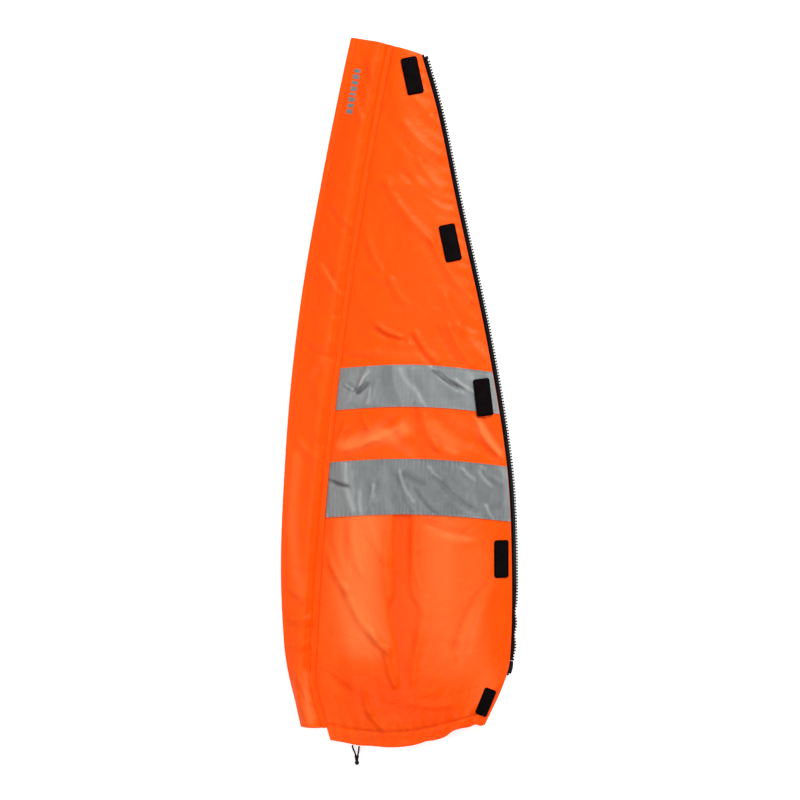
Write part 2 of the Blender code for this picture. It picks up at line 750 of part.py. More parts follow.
def make_slider():
    """Slider body with its lanes for the teeth, and the crown on it."""
    frame = slider_frame()
    high = ZIP_MIDDLE + TOOTH_THICK / 2 + RUNNING
    low = ZIP_MIDDLE - TOOTH_THICK / 2 - RUNNING
    slot = ZIP_TAPE_WALL / 2 + RUNNING
    half = channel_half() + RIM
    nose, tail = SLIDER_LENGTH / 2, -SLIDER_LENGTH / 2
    outline = [(-half * 0.86, tail), (half * 0.86, tail), (half, -0.001), (half, nose - 0.003),
               (half - 0.003, nose), (-half + 0.003, nose), (-half, nose - 0.003), (-half, -0.001)]
    body = outline_solid("slider_body", outline, low - WING, high + WING, CAST)
    lanes = outline_solid("slider_lanes", lane_outline(channel_half()), low, high, CAST)
    slots = outline_solid("slider_slots", lane_outline(half + 0.001),
                          ZIP_MIDDLE - slot, ZIP_MIDDLE + slot, CAST)
    combine(body, lanes, "DIFFERENCE")
    combine(body, slots, "DIFFERENCE")
    seat = high + WING + GAP
    span, inside = CROWN_SPAN, CROWN_SPAN - 2 * CROWN_WALL
    crown = block("slider_crown", (CROWN_WIDTH, span, CROWN_RISE), (0, 0, seat + CROWN_RISE / 2), CAST)
    gap = CROWN_RISE - CROWN_WALL
    hollow = block("crown_hollow", (2 * CROWN_WIDTH, inside, gap + 0.001),
                   (0, 0, seat + (gap - 0.001) / 2), CAST)
    combine(crown, hollow, "DIFFERENCE")
    for thing in (body, lanes, slots, crown, hollow):
        thing.matrix_world = frame
    make_puller(frame, seat + gap / 2)


def make_puller(frame, height):
    """Puller tab, hung by its round bar in the crown's arch, lying down on the slider."""
    wide, wall, window = PULLER_WIDTH, PULLER_WALL, PULLER_WINDOW
    inner = CROWN_WIDTH + 4 * RUNNING
    low, end = height - wall / 2, -PULLER_LENGTH
    points = [(wide / 2, wall / 2), (wide / 2, end + 0.003), (wide / 2 - 0.003, end),
              (-wide / 2 + 0.003, end), (-wide / 2, end + 0.003), (-wide / 2, wall / 2)]
    tab = outline_solid("puller_tab", points, low, low + wall, CAST)
    opening = block("puller_window", (inner, window, 4 * wall), (0, -window / 2, height), CAST)
    notch = block("puller_notch", (inner, 2 * wall, 4 * wall), (0, wall * 0.9, height), CAST)
    bm = bmesh.new()
    bmesh.ops.create_cone(bm, cap_ends=True, segments=12, radius1=PULLER_BAR / 2,
                          radius2=PULLER_BAR / 2, depth=inner + 2 * PULLER_WALL)
    bmesh.ops.rotate(bm, verts=bm.verts, matrix=Matrix.Rotation(pi / 2, 3, "Y"))
    bmesh.ops.translate(bm, verts=bm.verts, vec=(0, 0, height))
    bar = keep("puller_bar", bm, CAST)
    combine(tab, opening, "DIFFERENCE")
    combine(tab, notch, "DIFFERENCE")
    combine(tab, bar, "UNION")
    for thing in (tab, opening, notch, bar):
        thing.matrix_world = frame


# Drawcord

def curve_through(points, steps):
    """Places on a smooth curve through chosen points."""
    spots = [Vector(p) for p in points]
    made = []
    for k in range(len(spots) - 1):
        before = spots[max(k - 1, 0)]
        after = spots[min(k + 2, len(spots) - 1)]
        a, b = spots[k], spots[k + 1]
        for step in range(steps):
            t = step / steps
            made.append(a * (2 * t**3 - 3 * t**2 + 1) + b * (3 * t**2 - 2 * t**3)
                        + (b - before) / 2 * (t**3 - 2 * t**2 + t) + (after - a) / 2 * (t**3 - t**2))
    return made + [spots[-1]]


def make_drawcord():
    """Cord in the hem tunnel, its two ends out of the hem, the knot and the end ball."""
    whole = panel_place(-HEM_LEFT_CORNER, NECK_ALONG, drop=HEM_DROP)
    run = []
    for k in range(13):
        spot = whole(0.06 + 0.88 * k / 12, 0.0)
        run.append((spot.x, spot.y + HEM_TUNNEL / 2, CORD_HEIGHT))
    tube("hem_drawcord", run, CORD, TEXTILE)
    knot = whole(KNOT_AT, 0.0) - Vector((0.0, KNOT_DROP))
    bead = whole(CORD_BALL_AT, 0.0) - Vector((0.0, CORD_BALL_DROP))
    knot_top = knot.y + KNOT_WIDTH / 2 + GAP
    for name, share, lean in zip(("drawcord_end_left", "drawcord_end_right"), CORD_EXITS, (-1, 1)):
        x, y = whole(share, 0.0) - Vector((0.0, CORD_PROUD))
        near = knot.x + lean * (CORD / 2 + GAP)
        route = [(x, y + 0.006, CORD_HEIGHT), (x, y, CORD_HEIGHT),
                 ((x + near) / 2 + lean * CORD / 4, (y + knot_top) / 2, (CORD_HEIGHT + KNOT_WIDTH / 2) / 2),
                 (near, knot_top, KNOT_WIDTH / 2)]
        tube(name, curve_through(route, 3), CORD, TEXTILE)
    bm = bmesh.new()
    bmesh.ops.create_uvsphere(bm, u_segments=12, v_segments=8, radius=KNOT_WIDTH / 2)
    bmesh.ops.translate(bm, verts=bm.verts, vec=(knot.x, knot.y, KNOT_WIDTH / 2 + GAP))
    keep("drawcord_knot", bm, TEXTILE)
    bm = bmesh.new()
    bmesh.ops.create_uvsphere(bm, u_segments=12, v_segments=8, radius=BALL / 2)
    bmesh.ops.translate(bm, verts=bm.verts, vec=(bead.x, bead.y, BALL / 2 + GAP))
    keep("cord_end_ball", bm, TEXTILE)


def main():
    make_panel()
    make_reflective_tapes()
    make_loop_patches()
    make_flap()
    make_flap_print()
    make_hook_patches()
    make_zips()
    make_slider()
    make_drawcord()


main()
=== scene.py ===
"""Looks of a padded zip-in extension panel for a high-visibility jacket, with its storm flap."""

from math import atan2, cos, pi, radians, sin, tau

import bpy
import numpy as np
from mathutils import Matrix, Vector


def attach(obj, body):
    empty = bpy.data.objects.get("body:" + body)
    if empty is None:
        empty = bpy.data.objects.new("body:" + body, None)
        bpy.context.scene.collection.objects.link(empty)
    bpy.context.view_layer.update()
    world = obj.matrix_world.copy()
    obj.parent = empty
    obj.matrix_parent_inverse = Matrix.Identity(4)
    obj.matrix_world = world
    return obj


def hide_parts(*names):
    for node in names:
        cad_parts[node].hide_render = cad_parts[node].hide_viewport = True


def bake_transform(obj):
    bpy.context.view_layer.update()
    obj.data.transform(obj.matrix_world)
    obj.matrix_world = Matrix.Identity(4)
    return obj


bl_info = {
    "name": "Jacket Extension Panel",
    "version": (1, 0, 0),
    "blender": (4, 5, 0),
    "location": "View3D > Sidebar > Extension Panel",
    "description": "Builds a padded zip-in jacket extension panel with bands, patches and a storm flap",
    "category": "Object",
}

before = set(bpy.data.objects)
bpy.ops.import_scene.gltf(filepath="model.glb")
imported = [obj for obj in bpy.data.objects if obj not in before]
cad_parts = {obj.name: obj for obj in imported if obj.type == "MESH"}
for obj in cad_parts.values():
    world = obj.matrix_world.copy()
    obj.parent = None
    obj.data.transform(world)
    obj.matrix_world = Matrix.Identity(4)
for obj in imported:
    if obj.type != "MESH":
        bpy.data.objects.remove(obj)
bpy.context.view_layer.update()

# Outlines and heights of the part, in metres
LENGTH = 0.849
WIDTH = 0.285
GAP = 0.0003
SEAM_TOP = (-0.0326 * WIDTH, 0.4836 * LENGTH)
SEAM_ZIP_END = (-0.3526 * WIDTH, -0.3786 * LENGTH)
SEAM_BOW = 0.0146
SEAM_SWING = 0.33
SEAM_SWING_EASE = 0.008
SEAM_SWING_START = -0.022
ZIP_EDGE = (
    (-0.4694, 0.3579), (-0.4139, 0.4340), (-0.3737, 0.4642), (-0.2350, 0.4705),
    (-0.1030, 0.4500), (0.0737, 0.3650), (0.2674, 0.2390), (0.3953, 0.1593), (0.4770, 0.0912),
)
FLAP_WIDTHS = (
    (-0.4700, 0.0158), (-0.4360, 0.0233), (-0.4000, 0.0320), (-0.3600, 0.0388),
    (-0.2500, 0.0483), (-0.1000, 0.0537), (0.0000, 0.0562), (0.1300, 0.0568),
    (0.3000, 0.0538), (0.5000, 0.0508),
)
HEM_DROP = 0.0156
HEM_LEFT_CORNER = 0.0950
NECK_OVER_ZIP = 0.0045
FLAP_END = 0.0800
EDGE_HEIGHT = 0.0050
CROWN_HEIGHTS = (
    (-0.5000, 0.0060), (-0.4300, 0.0150), (-0.3000, 0.0230), (-0.1500, 0.0210),
    (0.0500, 0.0150), (0.3000, 0.0080), (0.5000, 0.0045),
)
SHELL_WALL = 0.0006
LINING_WALL = 0.0005
LINING_LIFT = 0.0022
LINING_LIFT_WIDTH = 0.0100
HEM_TUNNEL = 0.0200
SHELL_TUCK = 0.0010
TAPES = {
    "reflective_tape_upper": {"width": 0.0500, "left": -0.0215, "middle": -0.0175, "right": -0.0260},
    "reflective_tape_lower": {"width": 0.0660, "left": -0.1500, "middle": -0.1455, "right": -0.1550},
}
PATCH_LENGTH = 0.0450
HEM_PATCH_LENGTH = 0.0340
LOOP_PATCHES = {
    "loop_patch_neck": {"in": 0.0180, "at": 0.4516, "lean": 12.0, "width": 0.0200},
    "loop_patch_chest": {"in": 0.0180, "at": 0.2149, "lean": 12.0, "width": 0.0200},
    "loop_patch_waist": {"in": 0.0166, "at": -0.0041, "lean": 7.0, "width": 0.0200},
    "loop_patch_hip": {"in": 0.0125, "at": -0.2347, "lean": 0.0, "width": 0.0175},
    "loop_patch_hem": {"in": 0.0112, "at": -0.4426, "lean": -22.0, "width": 0.0150},
}
FLAP_RISE = (
    (-0.0010, 0.0060), (0.0030, 0.0058), (0.0070, 0.0066), (0.0110, 0.0083),
    (0.0150, 0.0104), (0.0180, 0.0108), (0.0215, 0.0104), (0.0250, 0.0092),
)
FLAP_EDGE_HEIGHT = 0.0012
FLAP_THICK = 0.0026
FOLD_TOP = 0.0160
FOLD_ZIP_END = 0.0130
TOPSTITCH = 0.0070
HOOK_WIDTH = 0.0160
HOOK_INSET = 0.0050
HOOK_PATCHES = {
    "hook_patch_neck": 0.4450,
    "hook_patch_chest": 0.2104,
    "hook_patch_waist": -0.0072,
    "hook_patch_hip": -0.2347,
}
PRINT_LENGTH = 0.0540
PRINT_WIDTH = 0.0080
PRINT_AT = 0.4160
PRINT_FROM_SEAM = 0.0355
ZIP_MIDDLE = 0.0035
ZIP_TAPE_WALL = 0.0008
TAPE_SEWN = 0.0100
ZIP_TAPE_SHOWS = 0.0027
BEAD = 0.0012
TOOTH_LENGTH = 0.0038
TOOTH_WIDTH = 0.0019
TOOTH_PITCH = 0.0035
TOOTH_THICK = 0.0026
LEFT_CHAIN_AT = 0.0122
ZIP_TOP_MARGIN = 0.0080
STOP_LENGTH = 0.0036
PIN_LENGTH = 0.0150
PIN_WIDTH = 0.0024
END_FILM = 0.0180
CORD = 0.0020
CORD_HEIGHT = LINING_WALL + GAP + CORD / 2
CORD_EXITS = (0.1425, 0.1847)
CORD_PROUD = 0.0020
KNOT_LOOP = 0.00076  # size of the knot's turns
KNOT_STEPS = 48
BAND_SEAM_INSET = 0.0024  # stitch line, from a band's edge
BAND_LIFT = 0.0009  # band's face over the shell
BAND_DIP = 0.0005  # how far a crease may sink below that
PATCH_LIFT = 0.0005
PATCH_LIFT_ON_BAND = 0.0022
PATCH_SEAM_INSET = 0.0019  # stitch line, from a patch's edge
STITCH_REACH = 0.4  # half of a stitch, as a share of the pitch
STITCH_SHARE = 0.86  # length of a stitch's thread, as a share of the pitch
KNOT_AT = 0.1706
KNOT_DROP = 0.0153
KNOT_WIDTH = 0.0064
CORD_BALL_AT = 0.1722
CORD_BALL_DROP = 0.0219
BALL = 0.0054

# Folds of the worn cloth, in millimetres: from, to, half width, rise (a fall where negative)
PANEL_FOLDS = (
    # neck to chest
    (-14, 246, 38, 181, 5.0, 1.9), (38, 181, 86, 112, 4.5, 2.4), (-27, 255, 22, 247, 7.0, 1.5),
    (22, 247, 60, 216, 6.0, 1.5), (24, 276, 49, 243, 4.0, 1.5), (8, 318, 45, 285, 5.0, 1.7),
    (20, 350, 42, 326, 5.0, 1.4), (6, 261, 52, 226, 4.5, -1.3), (4, 300, 40, 268, 5.0, -1.0),
    (-36, 176, -23, 148, 3.6, 1.4), (-34, 139, -11, 134, 4.0, 1.2), (-11, 134, 8, 104, 4.0, 1.2),
    (56, 110, 71, 77, 5.5, 1.9), (64, 108, 80, 79, 4.0, -1.4), (-8, 372, 4, 318, 9.0, 0.9),
    (-44, 222, -38, 180, 6.0, 0.7), (30, 160, 52, 122, 8.0, 0.7), (52, 300, 59, 262, 3.0, 0.9),
    # the fold from packing
    (-27, 81, -1, 66, 3.0, 2.0), (-26, 72, 5, 61, 3.0, -1.8), (14, 66, 37, 34, 3.4, -1.9),
    (20, 68, 45, 37, 4.0, 1.6), (60, 77, 85, 34, 4.0, 2.4), (49, 73, 71, 34, 3.6, -1.5),
    (73, 77, 90, 69, 4.0, 1.3), (-66, 45, -36, 40, 2.4, -1.2), (-64, 52, -30, 50, 4.0, 0.9),
    (-6, 60, 14, 56, 3.0, 1.1), (86, 62, 104, 44, 3.5, 1.3),
    # under the upper band
    (-60, 9, -50, 2, 3.0, -1.7), (-50, 2, -40, 9, 3.0, -1.7), (-39, 29, -47, 10, 3.0, 1.4),
    (48, 22, 74, 4, 2.6, -2.0), (40, 26, 67, 0, 4.0, 1.2), (-9, 29, 2, -12, 4.0, 1.0),
    (15, 27, 23, -15, 4.0, 1.0), (-37, -12, -28, 12, 3.4, 1.0), (-66, -14, -58, 2, 3.4, 0.9),
    (82, 14, 88, -18, 5.0, 0.8),
    # between the bands
    (-66, -67, -36, -57, 5.5, 2.3), (-36, -57, -7, -44, 5.5, 2.2), (-45, -53, -13, -36, 5.0, -1.9),
    (2, -43, 8, -51, 7.5, 2.3), (17, -26, 24, -74, 7.0, -1.9), (28, -30, 44, -64, 4.8, 2.2),
    (44, -64, 64, -74, 4.8, 1.8), (52, -35, 93, -63, 8.0, -1.8), (93, -36, 120, -75, 3.8, 3.0),
    (102, -33, 126, -67, 3.4, -2.0), (87, -50, 110, -76, 4.0, -1.7), (-68, -45, -77, -67, 3.4, 1.6),
    (-62, -49, -67, -59, 3.0, -1.2), (-44, -28, -38, -43, 3.0, 1.2), (-22, -64, 10, -72, 6.0, -1.0),
    # under the lower band
    (0, -96, 15, -138, 3.2, 1.4), (-38, -142, -28, -110, 3.4, -1.3), (-31, -116, -35, -138, 3.0, 1.3),
    (44, -104, 90, -144, 4.4, -1.2), (52, -100, 98, -140, 5.0, 1.0), (100, -92, 121, -108, 3.4, 1.4),
    (-82, -107, -66, -112, 3.0, -1.5), (70, -92, 80, -110, 3.2, 1.0), (-12, -92, -4, -140, 5.0, -0.8),
    # hip to hem
    (-14, -164, -14, -240, 3.8, 1.2), (17, -166, 19, -184, 4.6, 1.6), (17, -190, 25, -232, 4.0, 1.4),
    (-33, -286, -16, -307, 3.6, 2.6), (-16, -307, -6, -348, 3.4, 2.6), (25, -288, 15, -342, 4.6, 1.4),
    (-84, -198, -64, -236, 4.2, 2.4), (-64, -236, -31, -292, 4.6, 2.4), (-57, -157, -48, -212, 4.8, 1.4),
    (-35, -157, -16, -202, 4.8, 1.3), (-66, -159, -64, -198, 4.0, -1.1), (-79, -157, -75, -192, 3.8, 1.1),
    (38, -156, 77, -169, 5.6, -1.9), (40, -174, 86, -179, 7.0, 1.1), (92, -244, 66, -302, 4.8, -1.9),
    (66, -302, 68, -320, 4.4, -1.4), (114, -228, 88, -308, 6.5, 1.8), (-42, -357, -36, -382, 3.0, 2.2),
    (-36, -382, -18, -403, 3.0, 2.2), (-78, -345, -63, -355, 6.0, -1.8), (14, -371, 58, -373, 4.0, 1.1),
    (121, -349, 68, -405, 5.0, 1.6), (32, -244, 36, -332, 9.0, 0.9), (-60, -300, -50, -382, 9.0, 0.9),
    (64, -188, 70, -250, 11.0, 0.9), (-28, -346, -24, -366, 5.0, -1.2), (40, -388, 52, -404, 4.0, 1.0),
)
FLAP_FOLDS = (
    (-42, 391, -33, 360, 4.6, -1.0), (-37, 394, -27, 366, 4.0, 1.0),
    (-48, 352, -36, 324, 5.0, -0.9), (-54, 352, -44, 322, 5.0, 0.8), (-79, 223, -58, 197, 4.0, 1.1),
    (-80, 213, -58, 188, 3.8, -1.0), (-94, 149, -70, 117, 3.8, 1.5),
    (-86, 150, -66, 119, 3.4, -1.0), (-105, 97, -73, 93, 4.0, -0.9), (-108, 62, -78, 59, 4.6, 1.0),
    (-110, 53, -79, 41, 2.6, -1.0), (-79, 41, -62, 41, 2.6, -1.0), (-98, 37, -110, 17, 5.5, 1.5),
    (-90, 268, -72, 250, 5.0, 0.8), (-118, -58, -100, -77, 5.0, 1.0),
    (-122, -70, -106, -92, 4.6, -0.9), (-129, -108, -130, -212, 6.0, 0.9),
    (-122, -213, -115, -218, 5.6, -1.0), (-124, -248, -111, -263, 4.6, -1.0),
    (-129, -236, -114, -244, 4.6, 1.1), (-127, -282, -106, -282, 3.8, -1.0),
    (-129, -271, -107, -270, 3.8, 1.2), (-119, -313, -105, -306, 3.4, -1.0),
    (-123, -303, -106, -297, 3.4, 1.1), (-111, -327, -104, -337, 3.6, -1.0),
    (-122, -337, -104, -370, 3.6, 1.6), (-104, -370, -92, -396, 3.4, 1.4),
    (-116, -346, -104, -352, 3.0, 0.9), (-118, -360, -108, -386, 3.0, -1.0),
    (-100, 10, -94, -14, 6.0, 0.8),
)
# Creases of the silver bands, then the streaks of painted light and painted shade on them
BAND_CREASES = (
    (-66, 9, -50, 1, 2.0, -1.2), (-50, 1, -40, 9, 2.0, -1.2), (-38, 23, -50, 3, 2.2, 1.0),
    (-40, -13, -36, 3, 2.0, 0.9), (0, 25, 16, 3, 3.4, 0.8), (22, -3, 30, -17, 2.6, 0.8),
    (40, 25, 68, 7, 2.0, -1.5), (68, 13, 88, 1, 2.4, 1.0), (88, 14, 96, 0, 3.0, 0.7),
    (-66, -89, -58, -137, 4.2, 1.2), (-48, -123, -47, -143, 2.8, 0.9), (-32, -113, -29, -128, 2.6, 0.8),
    (-84, -107, -64, -113, 2.2, -1.5), (0, -97, 16, -129, 2.8, 0.9), (10, -98, 24, -106, 4.6, -1.2),
    (20, -117, 42, -143, 3.0, -1.0), (36, -91, 48, -103, 3.0, 0.9), (76, -93, 88, -103, 2.6, 0.9),
    (96, -97, 108, -111, 2.8, 0.9), (104, -137, 112, -153, 2.4, 0.8), (60, -100, 70, -140, 8.0, -0.7),
)
BAND_STREAKS = (
    (-66, 7, -50, -1, 1.6, -0.55), (-50, -1, -40, 8, 1.6, -0.55), (-38, 23, -50, 4, 1.6, 0.50),
    (-42, 22, -46, 10, 1.4, 0.30), (-40, -14, -36, 3, 2.0, 0.40), (-16, 22, -12, -10, 7.0, -0.22),
    (1, 25, 14, 4, 4.4, 0.34), (18, 18, 34, -2, 6.0, -0.16), (23, -4, 31, -17, 1.8, 0.40),
    (40, 25, 68, 7, 1.5, -0.70), (69, 12, 88, 1, 2.0, 0.40), (86, 20, 96, 0, 4.0, 0.22),
    (-68, 26, -74, -20, 3.0, -0.10), (52, 8, 70, -10, 8.0, -0.10), (-58, -14, -30, -18, 3.0, -0.12),
    (-66, -88, -56, -140, 4.4, 0.46), (-57, -96, -54, -120, 2.0, 0.30), (-48, -120, -46, -144, 2.6, 0.42),
    (-32, -112, -30, -130, 2.4, 0.36), (-44, -92, -38, -108, 5.0, -0.14), (-84, -105, -63, -112, 1.8, -0.60),
    (0, -96, 16, -130, 1.8, 0.36), (8, -97, 26, -107, 3.4, -0.34), (20, -117, 43, -144, 2.4, -0.38),
    (36, -90, 48, -104, 2.4, 0.40), (76, -92, 88, -104, 2.0, 0.40), (96, -96, 109, -112, 2.4, 0.40),
    (104, -136, 113, -154, 2.0, 0.46), (50, -108, 66, -146, 10.0, -0.14), (84, -110, 96, -146, 8.0, 0.12),
    (-20, -90, -14, -146, 6.0, 0.10), (116, -84, 128, -100, 3.0, 0.20), (-80, -84, -86, -140, 3.0, -0.14),
)
# Painted light and painted shade on the panel and on the flap: lobes of brighter colour where light falls,
# duller colour where shade falls
PANEL_PAINTED_LIGHT = (
    (-45, -165, -45, -285, 34, 0.80), (55, -165, 60, -290, 42, 0.50), (100, -200, 95, -320, 16, 0.20),
    (-62, -62, -30, -50, 9, 0.80), (-20, -52, 4, -44, 9, 0.70), (-5, -60, 10, -70, 8, 0.30),
    (98, -40, 120, -72, 6, 0.80), (40, -40, 60, -60, 10, 0.50), (65, -30, 95, -50, 9, 0.25),
    (90, 62, 110, 40, 8, 0.40), (-30, 50, 30, 44, 7, 0.25), (45, 250, 75, 170, 12, 0.25),
    (20, 330, 40, 270, 9, 0.20), (105, -345, 80, -385, 12, 0.35), (5, -150, 7, -330, 11, -0.60),
    (-30, -352, 60, -388, 26, -0.60), (-62, -340, -40, -398, 14, -0.25), (0, 200, 40, 90, 22, -0.20),
    (-10, 5, 30, -20, 14, -0.15), (-50, 120, -40, 60, 8, -0.15), (70, 130, 88, 100, 8, 0.20),
)
FLAP_PAINTED_LIGHT = (
    (-122, -80, -118, -240, 9, 0.40), (-112, -340, -106, -388, 7, 0.60), (-85, 60, -80, -40, 10, 0.12),
    (-101, -60, -104, -200, 8, -0.25), (-40, 380, -92, 150, 18, -0.40), (-94, 120, -106, 20, 8, -0.25),
    (-94, 150, -72, 120, 4, 0.35), (-110, -250, -106, -330, 6, -0.25), (-116, -60, -100, -76, 4, 0.35),
)
# How far the drawcord pulls the hem's edge up, in mm, at shares across it
HEM_PULL = (
    (0.00, 0.0), (0.10, 0.0), (0.18, -0.6), (0.28, 0.3), (0.38, -0.4), (0.48, 0.0), (0.56, 0.8), (0.62, 2.6),
    (0.68, 1.8), (0.74, 2.6), (0.80, 7.0), (0.85, 6.4), (0.90, 4.6), (0.94, 4.6), (0.97, 0.8), (1.00, 0.0),
)
# The pleat below the lower band: height, middle, half width, depth
PLEAT = (
    (-147, 3, 12, 2.6), (-200, 2, 11, 2.3), (-240, 3, 12, 2.2), (-257, 4, 21, 2.6),
    (-276, 5, 19, 2.4), (-302, 7, 13, 1.9), (-342, 7, 9, 0.9), (-372, 6, 6, 0.0),
)


# Curves that the outlines follow

def smooth(table, at):
    """Value at a place in a table of (place, value), on a curve through its points."""
    if at <= table[0][0]:
        slope = (table[1][1] - table[0][1]) / (table[1][0] - table[0][0])
        return table[0][1] + slope * (at - table[0][0])
    if at >= table[-1][0]:
        slope = (table[-1][1] - table[-2][1]) / (table[-1][0] - table[-2][0])
        return table[-1][1] + slope * (at - table[-1][0])
    k = max(i for i in range(len(table) - 1) if table[i][0] <= at)
    slopes = []
    for i in (k, k + 1):
        low, high = max(i - 1, 0), min(i + 1, len(table) - 1)
        slopes.append((table[high][1] - table[low][1]) / (table[high][0] - table[low][0]))
    span = table[k + 1][0] - table[k][0]
    t = (at - table[k][0]) / span
    start = table[k][1] * (2 * t**3 - 3 * t**2 + 1) + table[k + 1][1] * (3 * t**2 - 2 * t**3)
    return start + span * (slopes[0] * (t**3 - 2 * t**2 + t) + slopes[1] * (t**3 - t**2))


class Profile:
    """A smooth curve through chosen points, read for many places at once."""

    def __init__(self, table, at_scale=1.0, scale=1.0, samples=900):
        first, last = table[0][0], table[-1][0]
        room = (last - first) * 0.08
        places = np.linspace(first - room, last + room, samples)
        self.places = places * at_scale
        self.values = np.array([smooth(table, at) for at in places]) * scale

    def __call__(self, at):
        return np.interp(at, self.places, self.values)


def eased(t):
    t = np.clip(t, 0.0, 1.0)
    return t * t * (3 - 2 * t)


class SeamLine:
    """The arc of the flap's seam, with places along it from the zip's lower end."""

    def __init__(self):
        top, low = Vector(SEAM_TOP), Vector(SEAM_ZIP_END)
        half = (top - low).length / 2
        self.radius = (half**2 + SEAM_BOW**2) / (2 * SEAM_BOW)
        chord = top - low
        right = Vector((chord.y, -chord.x)).normalized()
        self.centre = (top + low) / 2 + right * (self.radius - SEAM_BOW)
        self.start = atan2(low.y - self.centre.y, low.x - self.centre.x) % tau
        self.length = 2 * self.radius * atan2(half, self.radius - SEAM_BOW)

    def point(self, along, out):
        angle = self.start - np.asarray(along) / self.radius
        reach = self.radius + np.asarray(out)
        return self.centre.x + reach * np.cos(angle), self.centre.y + reach * np.sin(angle)

    def outward(self, along):
        angle = self.start - np.asarray(along) / self.radius
        return np.cos(angle), np.sin(angle)

    def swing(self, along):
        below = np.maximum(SEAM_SWING_START - np.asarray(along), 0.0)
        return SEAM_SWING * below**2 / (below + SEAM_SWING_EASE)

    def along_at(self, y):
        return (self.start - pi + np.arcsin((y - self.centre.y) / self.radius)) * self.radius


class EdgeLine:
    """The panel's zipped edge, with places along it from the zip's lower end."""

    def __init__(self):
        self.ys = np.linspace(ZIP_EDGE[0][0], ZIP_EDGE[-1][0], 800) * LENGTH
        self.xs = np.array([smooth(ZIP_EDGE, y / LENGTH) for y in self.ys]) * WIDTH
        steps = np.hypot(np.diff(self.xs), np.diff(self.ys))
        lengths = np.concatenate(([0.0], np.cumsum(steps)))
        self.lengths = lengths - np.interp(SEAM_ZIP_END[1], self.ys, lengths)
        self.lean_x = np.gradient(self.xs, self.lengths)
        self.lean_y = np.gradient(self.ys, self.lengths)
        self.low, self.high = self.lengths[0], self.lengths[-1]

    def outward(self, along):
        way_x = np.interp(along, self.lengths, self.lean_x)
        way_y = np.interp(along, self.lengths, self.lean_y)
        size = np.hypot(way_x, way_y)
        return way_y / size, -way_x / size

    def point(self, along, out):
        out_x, out_y = self.outward(along)
        x = np.interp(along, self.lengths, self.xs)
        y = np.interp(along, self.lengths, self.ys)
        return x + out_x * out, y + out_y * out

    def along_at(self, y):
        return np.interp(y, self.ys, self.lengths)

    def x_at(self, y):
        return np.interp(y, self.ys, self.xs)


SEAM = SeamLine()
EDGE = EdgeLine()
CROWN = Profile(CROWN_HEIGHTS, LENGTH)
FLAP_WIDTH = Profile(FLAP_WIDTHS, LENGTH)
RISE = Profile(FLAP_RISE)
HEM_GATHER = Profile(HEM_PULL, 1.0, 0.001)
NECK_ALONG = SEAM.length + NECK_OVER_ZIP
WHOLE_ALONG = NECK_ALONG + HEM_LEFT_CORNER


def seam_x(y):
    along = SEAM.along_at(y)
    return SEAM.point(along, -SEAM.swing(along))[0]


def panel_spot(u, v):
    """Place on the panel: across from the seam to the zip, along from hem to neck."""
    along = -HEM_LEFT_CORNER + WHOLE_ALONG * v
    left_x, left_y = SEAM.point(along, SHELL_TUCK - SEAM.swing(along))
    right_y = EDGE.ys[0] + (EDGE.ys[-1] - EDGE.ys[0]) * v
    right_x = EDGE.x_at(right_y)
    bow = HEM_DROP * np.sin(pi * u) * (1 - v) ** 6
    bow = bow - HEM_GATHER(u) * (1 - np.clip(v / 0.045, 0, 1)) ** 2
    return left_x + (right_x - left_x) * u, left_y + (right_y - left_y) * u - bow


def below_hem(share, drop):
    """Place under the hem's edge, a share across it from its left corner."""
    x, y = panel_spot(np.float64(share), np.float64(0))
    return float(x), float(y) - drop


def out_of_seam(x, y):
    """A place's distance left of the seam's arc, and its place along it."""
    away_x, away_y = x - SEAM.centre.x, y - SEAM.centre.y
    angle = np.arctan2(away_y, away_x) % tau
    return np.hypot(away_x, away_y) - SEAM.radius, (SEAM.start - angle) * SEAM.radius


# Relief of the cloth

def ridges(x, y, folds, gain):
    """Sum of the folds' heights at many places, in metres."""
    total = np.zeros_like(x)
    for x0, y0, x1, y1, wide, rise in folds:
        ax, ay, bx, by = x0 / 1000, y0 / 1000, x1 / 1000, y1 / 1000
        length = np.hypot(bx - ax, by - ay)
        way_x, way_y = (bx - ax) / length, (by - ay) / length
        off_x, off_y = x - ax, y - ay
        t = off_x * way_x + off_y * way_y
        side = off_x * way_y - off_y * way_x
        side = side - 0.05 * length * np.sin(pi * np.clip(t / length, 0, 1))
        beyond = np.maximum(np.maximum(-t, t - length), 0.0)
        half = wide / 1000
        ends = np.exp(-((beyond / (1.6 * half)) ** 2))
        total += rise / 1000 * gain * np.exp(-((side / half) ** 2)) * ends
    return total


def ripple(x, y, seed, longest, shortest, height, count=22):
    """Gentle irregular waves, the same each time."""
    chance = np.random.RandomState(seed)
    total = np.zeros_like(x)
    for _ in range(count):
        wave = shortest * (longest / shortest) ** chance.rand()
        angle, phase = chance.rand() * pi, chance.rand() * tau
        total += wave / longest * np.sin(tau * (x * cos(angle) + y * sin(angle)) / wave + phase)
    return height * total / np.sqrt(count)


PLEAT_MIDDLE = Profile([(y, m) for y, m, w, d in reversed(PLEAT)], 0.001, 0.001)
PLEAT_HALF = Profile([(y, w) for y, m, w, d in reversed(PLEAT)], 0.001, 0.001)
PLEAT_DEPTH = Profile([(y, d) for y, m, w, d in reversed(PLEAT)], 0.001, 0.001)


def pleat_share(x, y):
    """How deep in the pleat a place is, from 0 to 1."""
    away = np.abs(x - PLEAT_MIDDLE(y)) / np.maximum(PLEAT_HALF(y), 0.002)
    ends = eased((-0.143 - y) / 0.006) * eased((y + 0.372) / 0.03)
    return (1 - eased((away - 0.66) / 0.5)) * ends


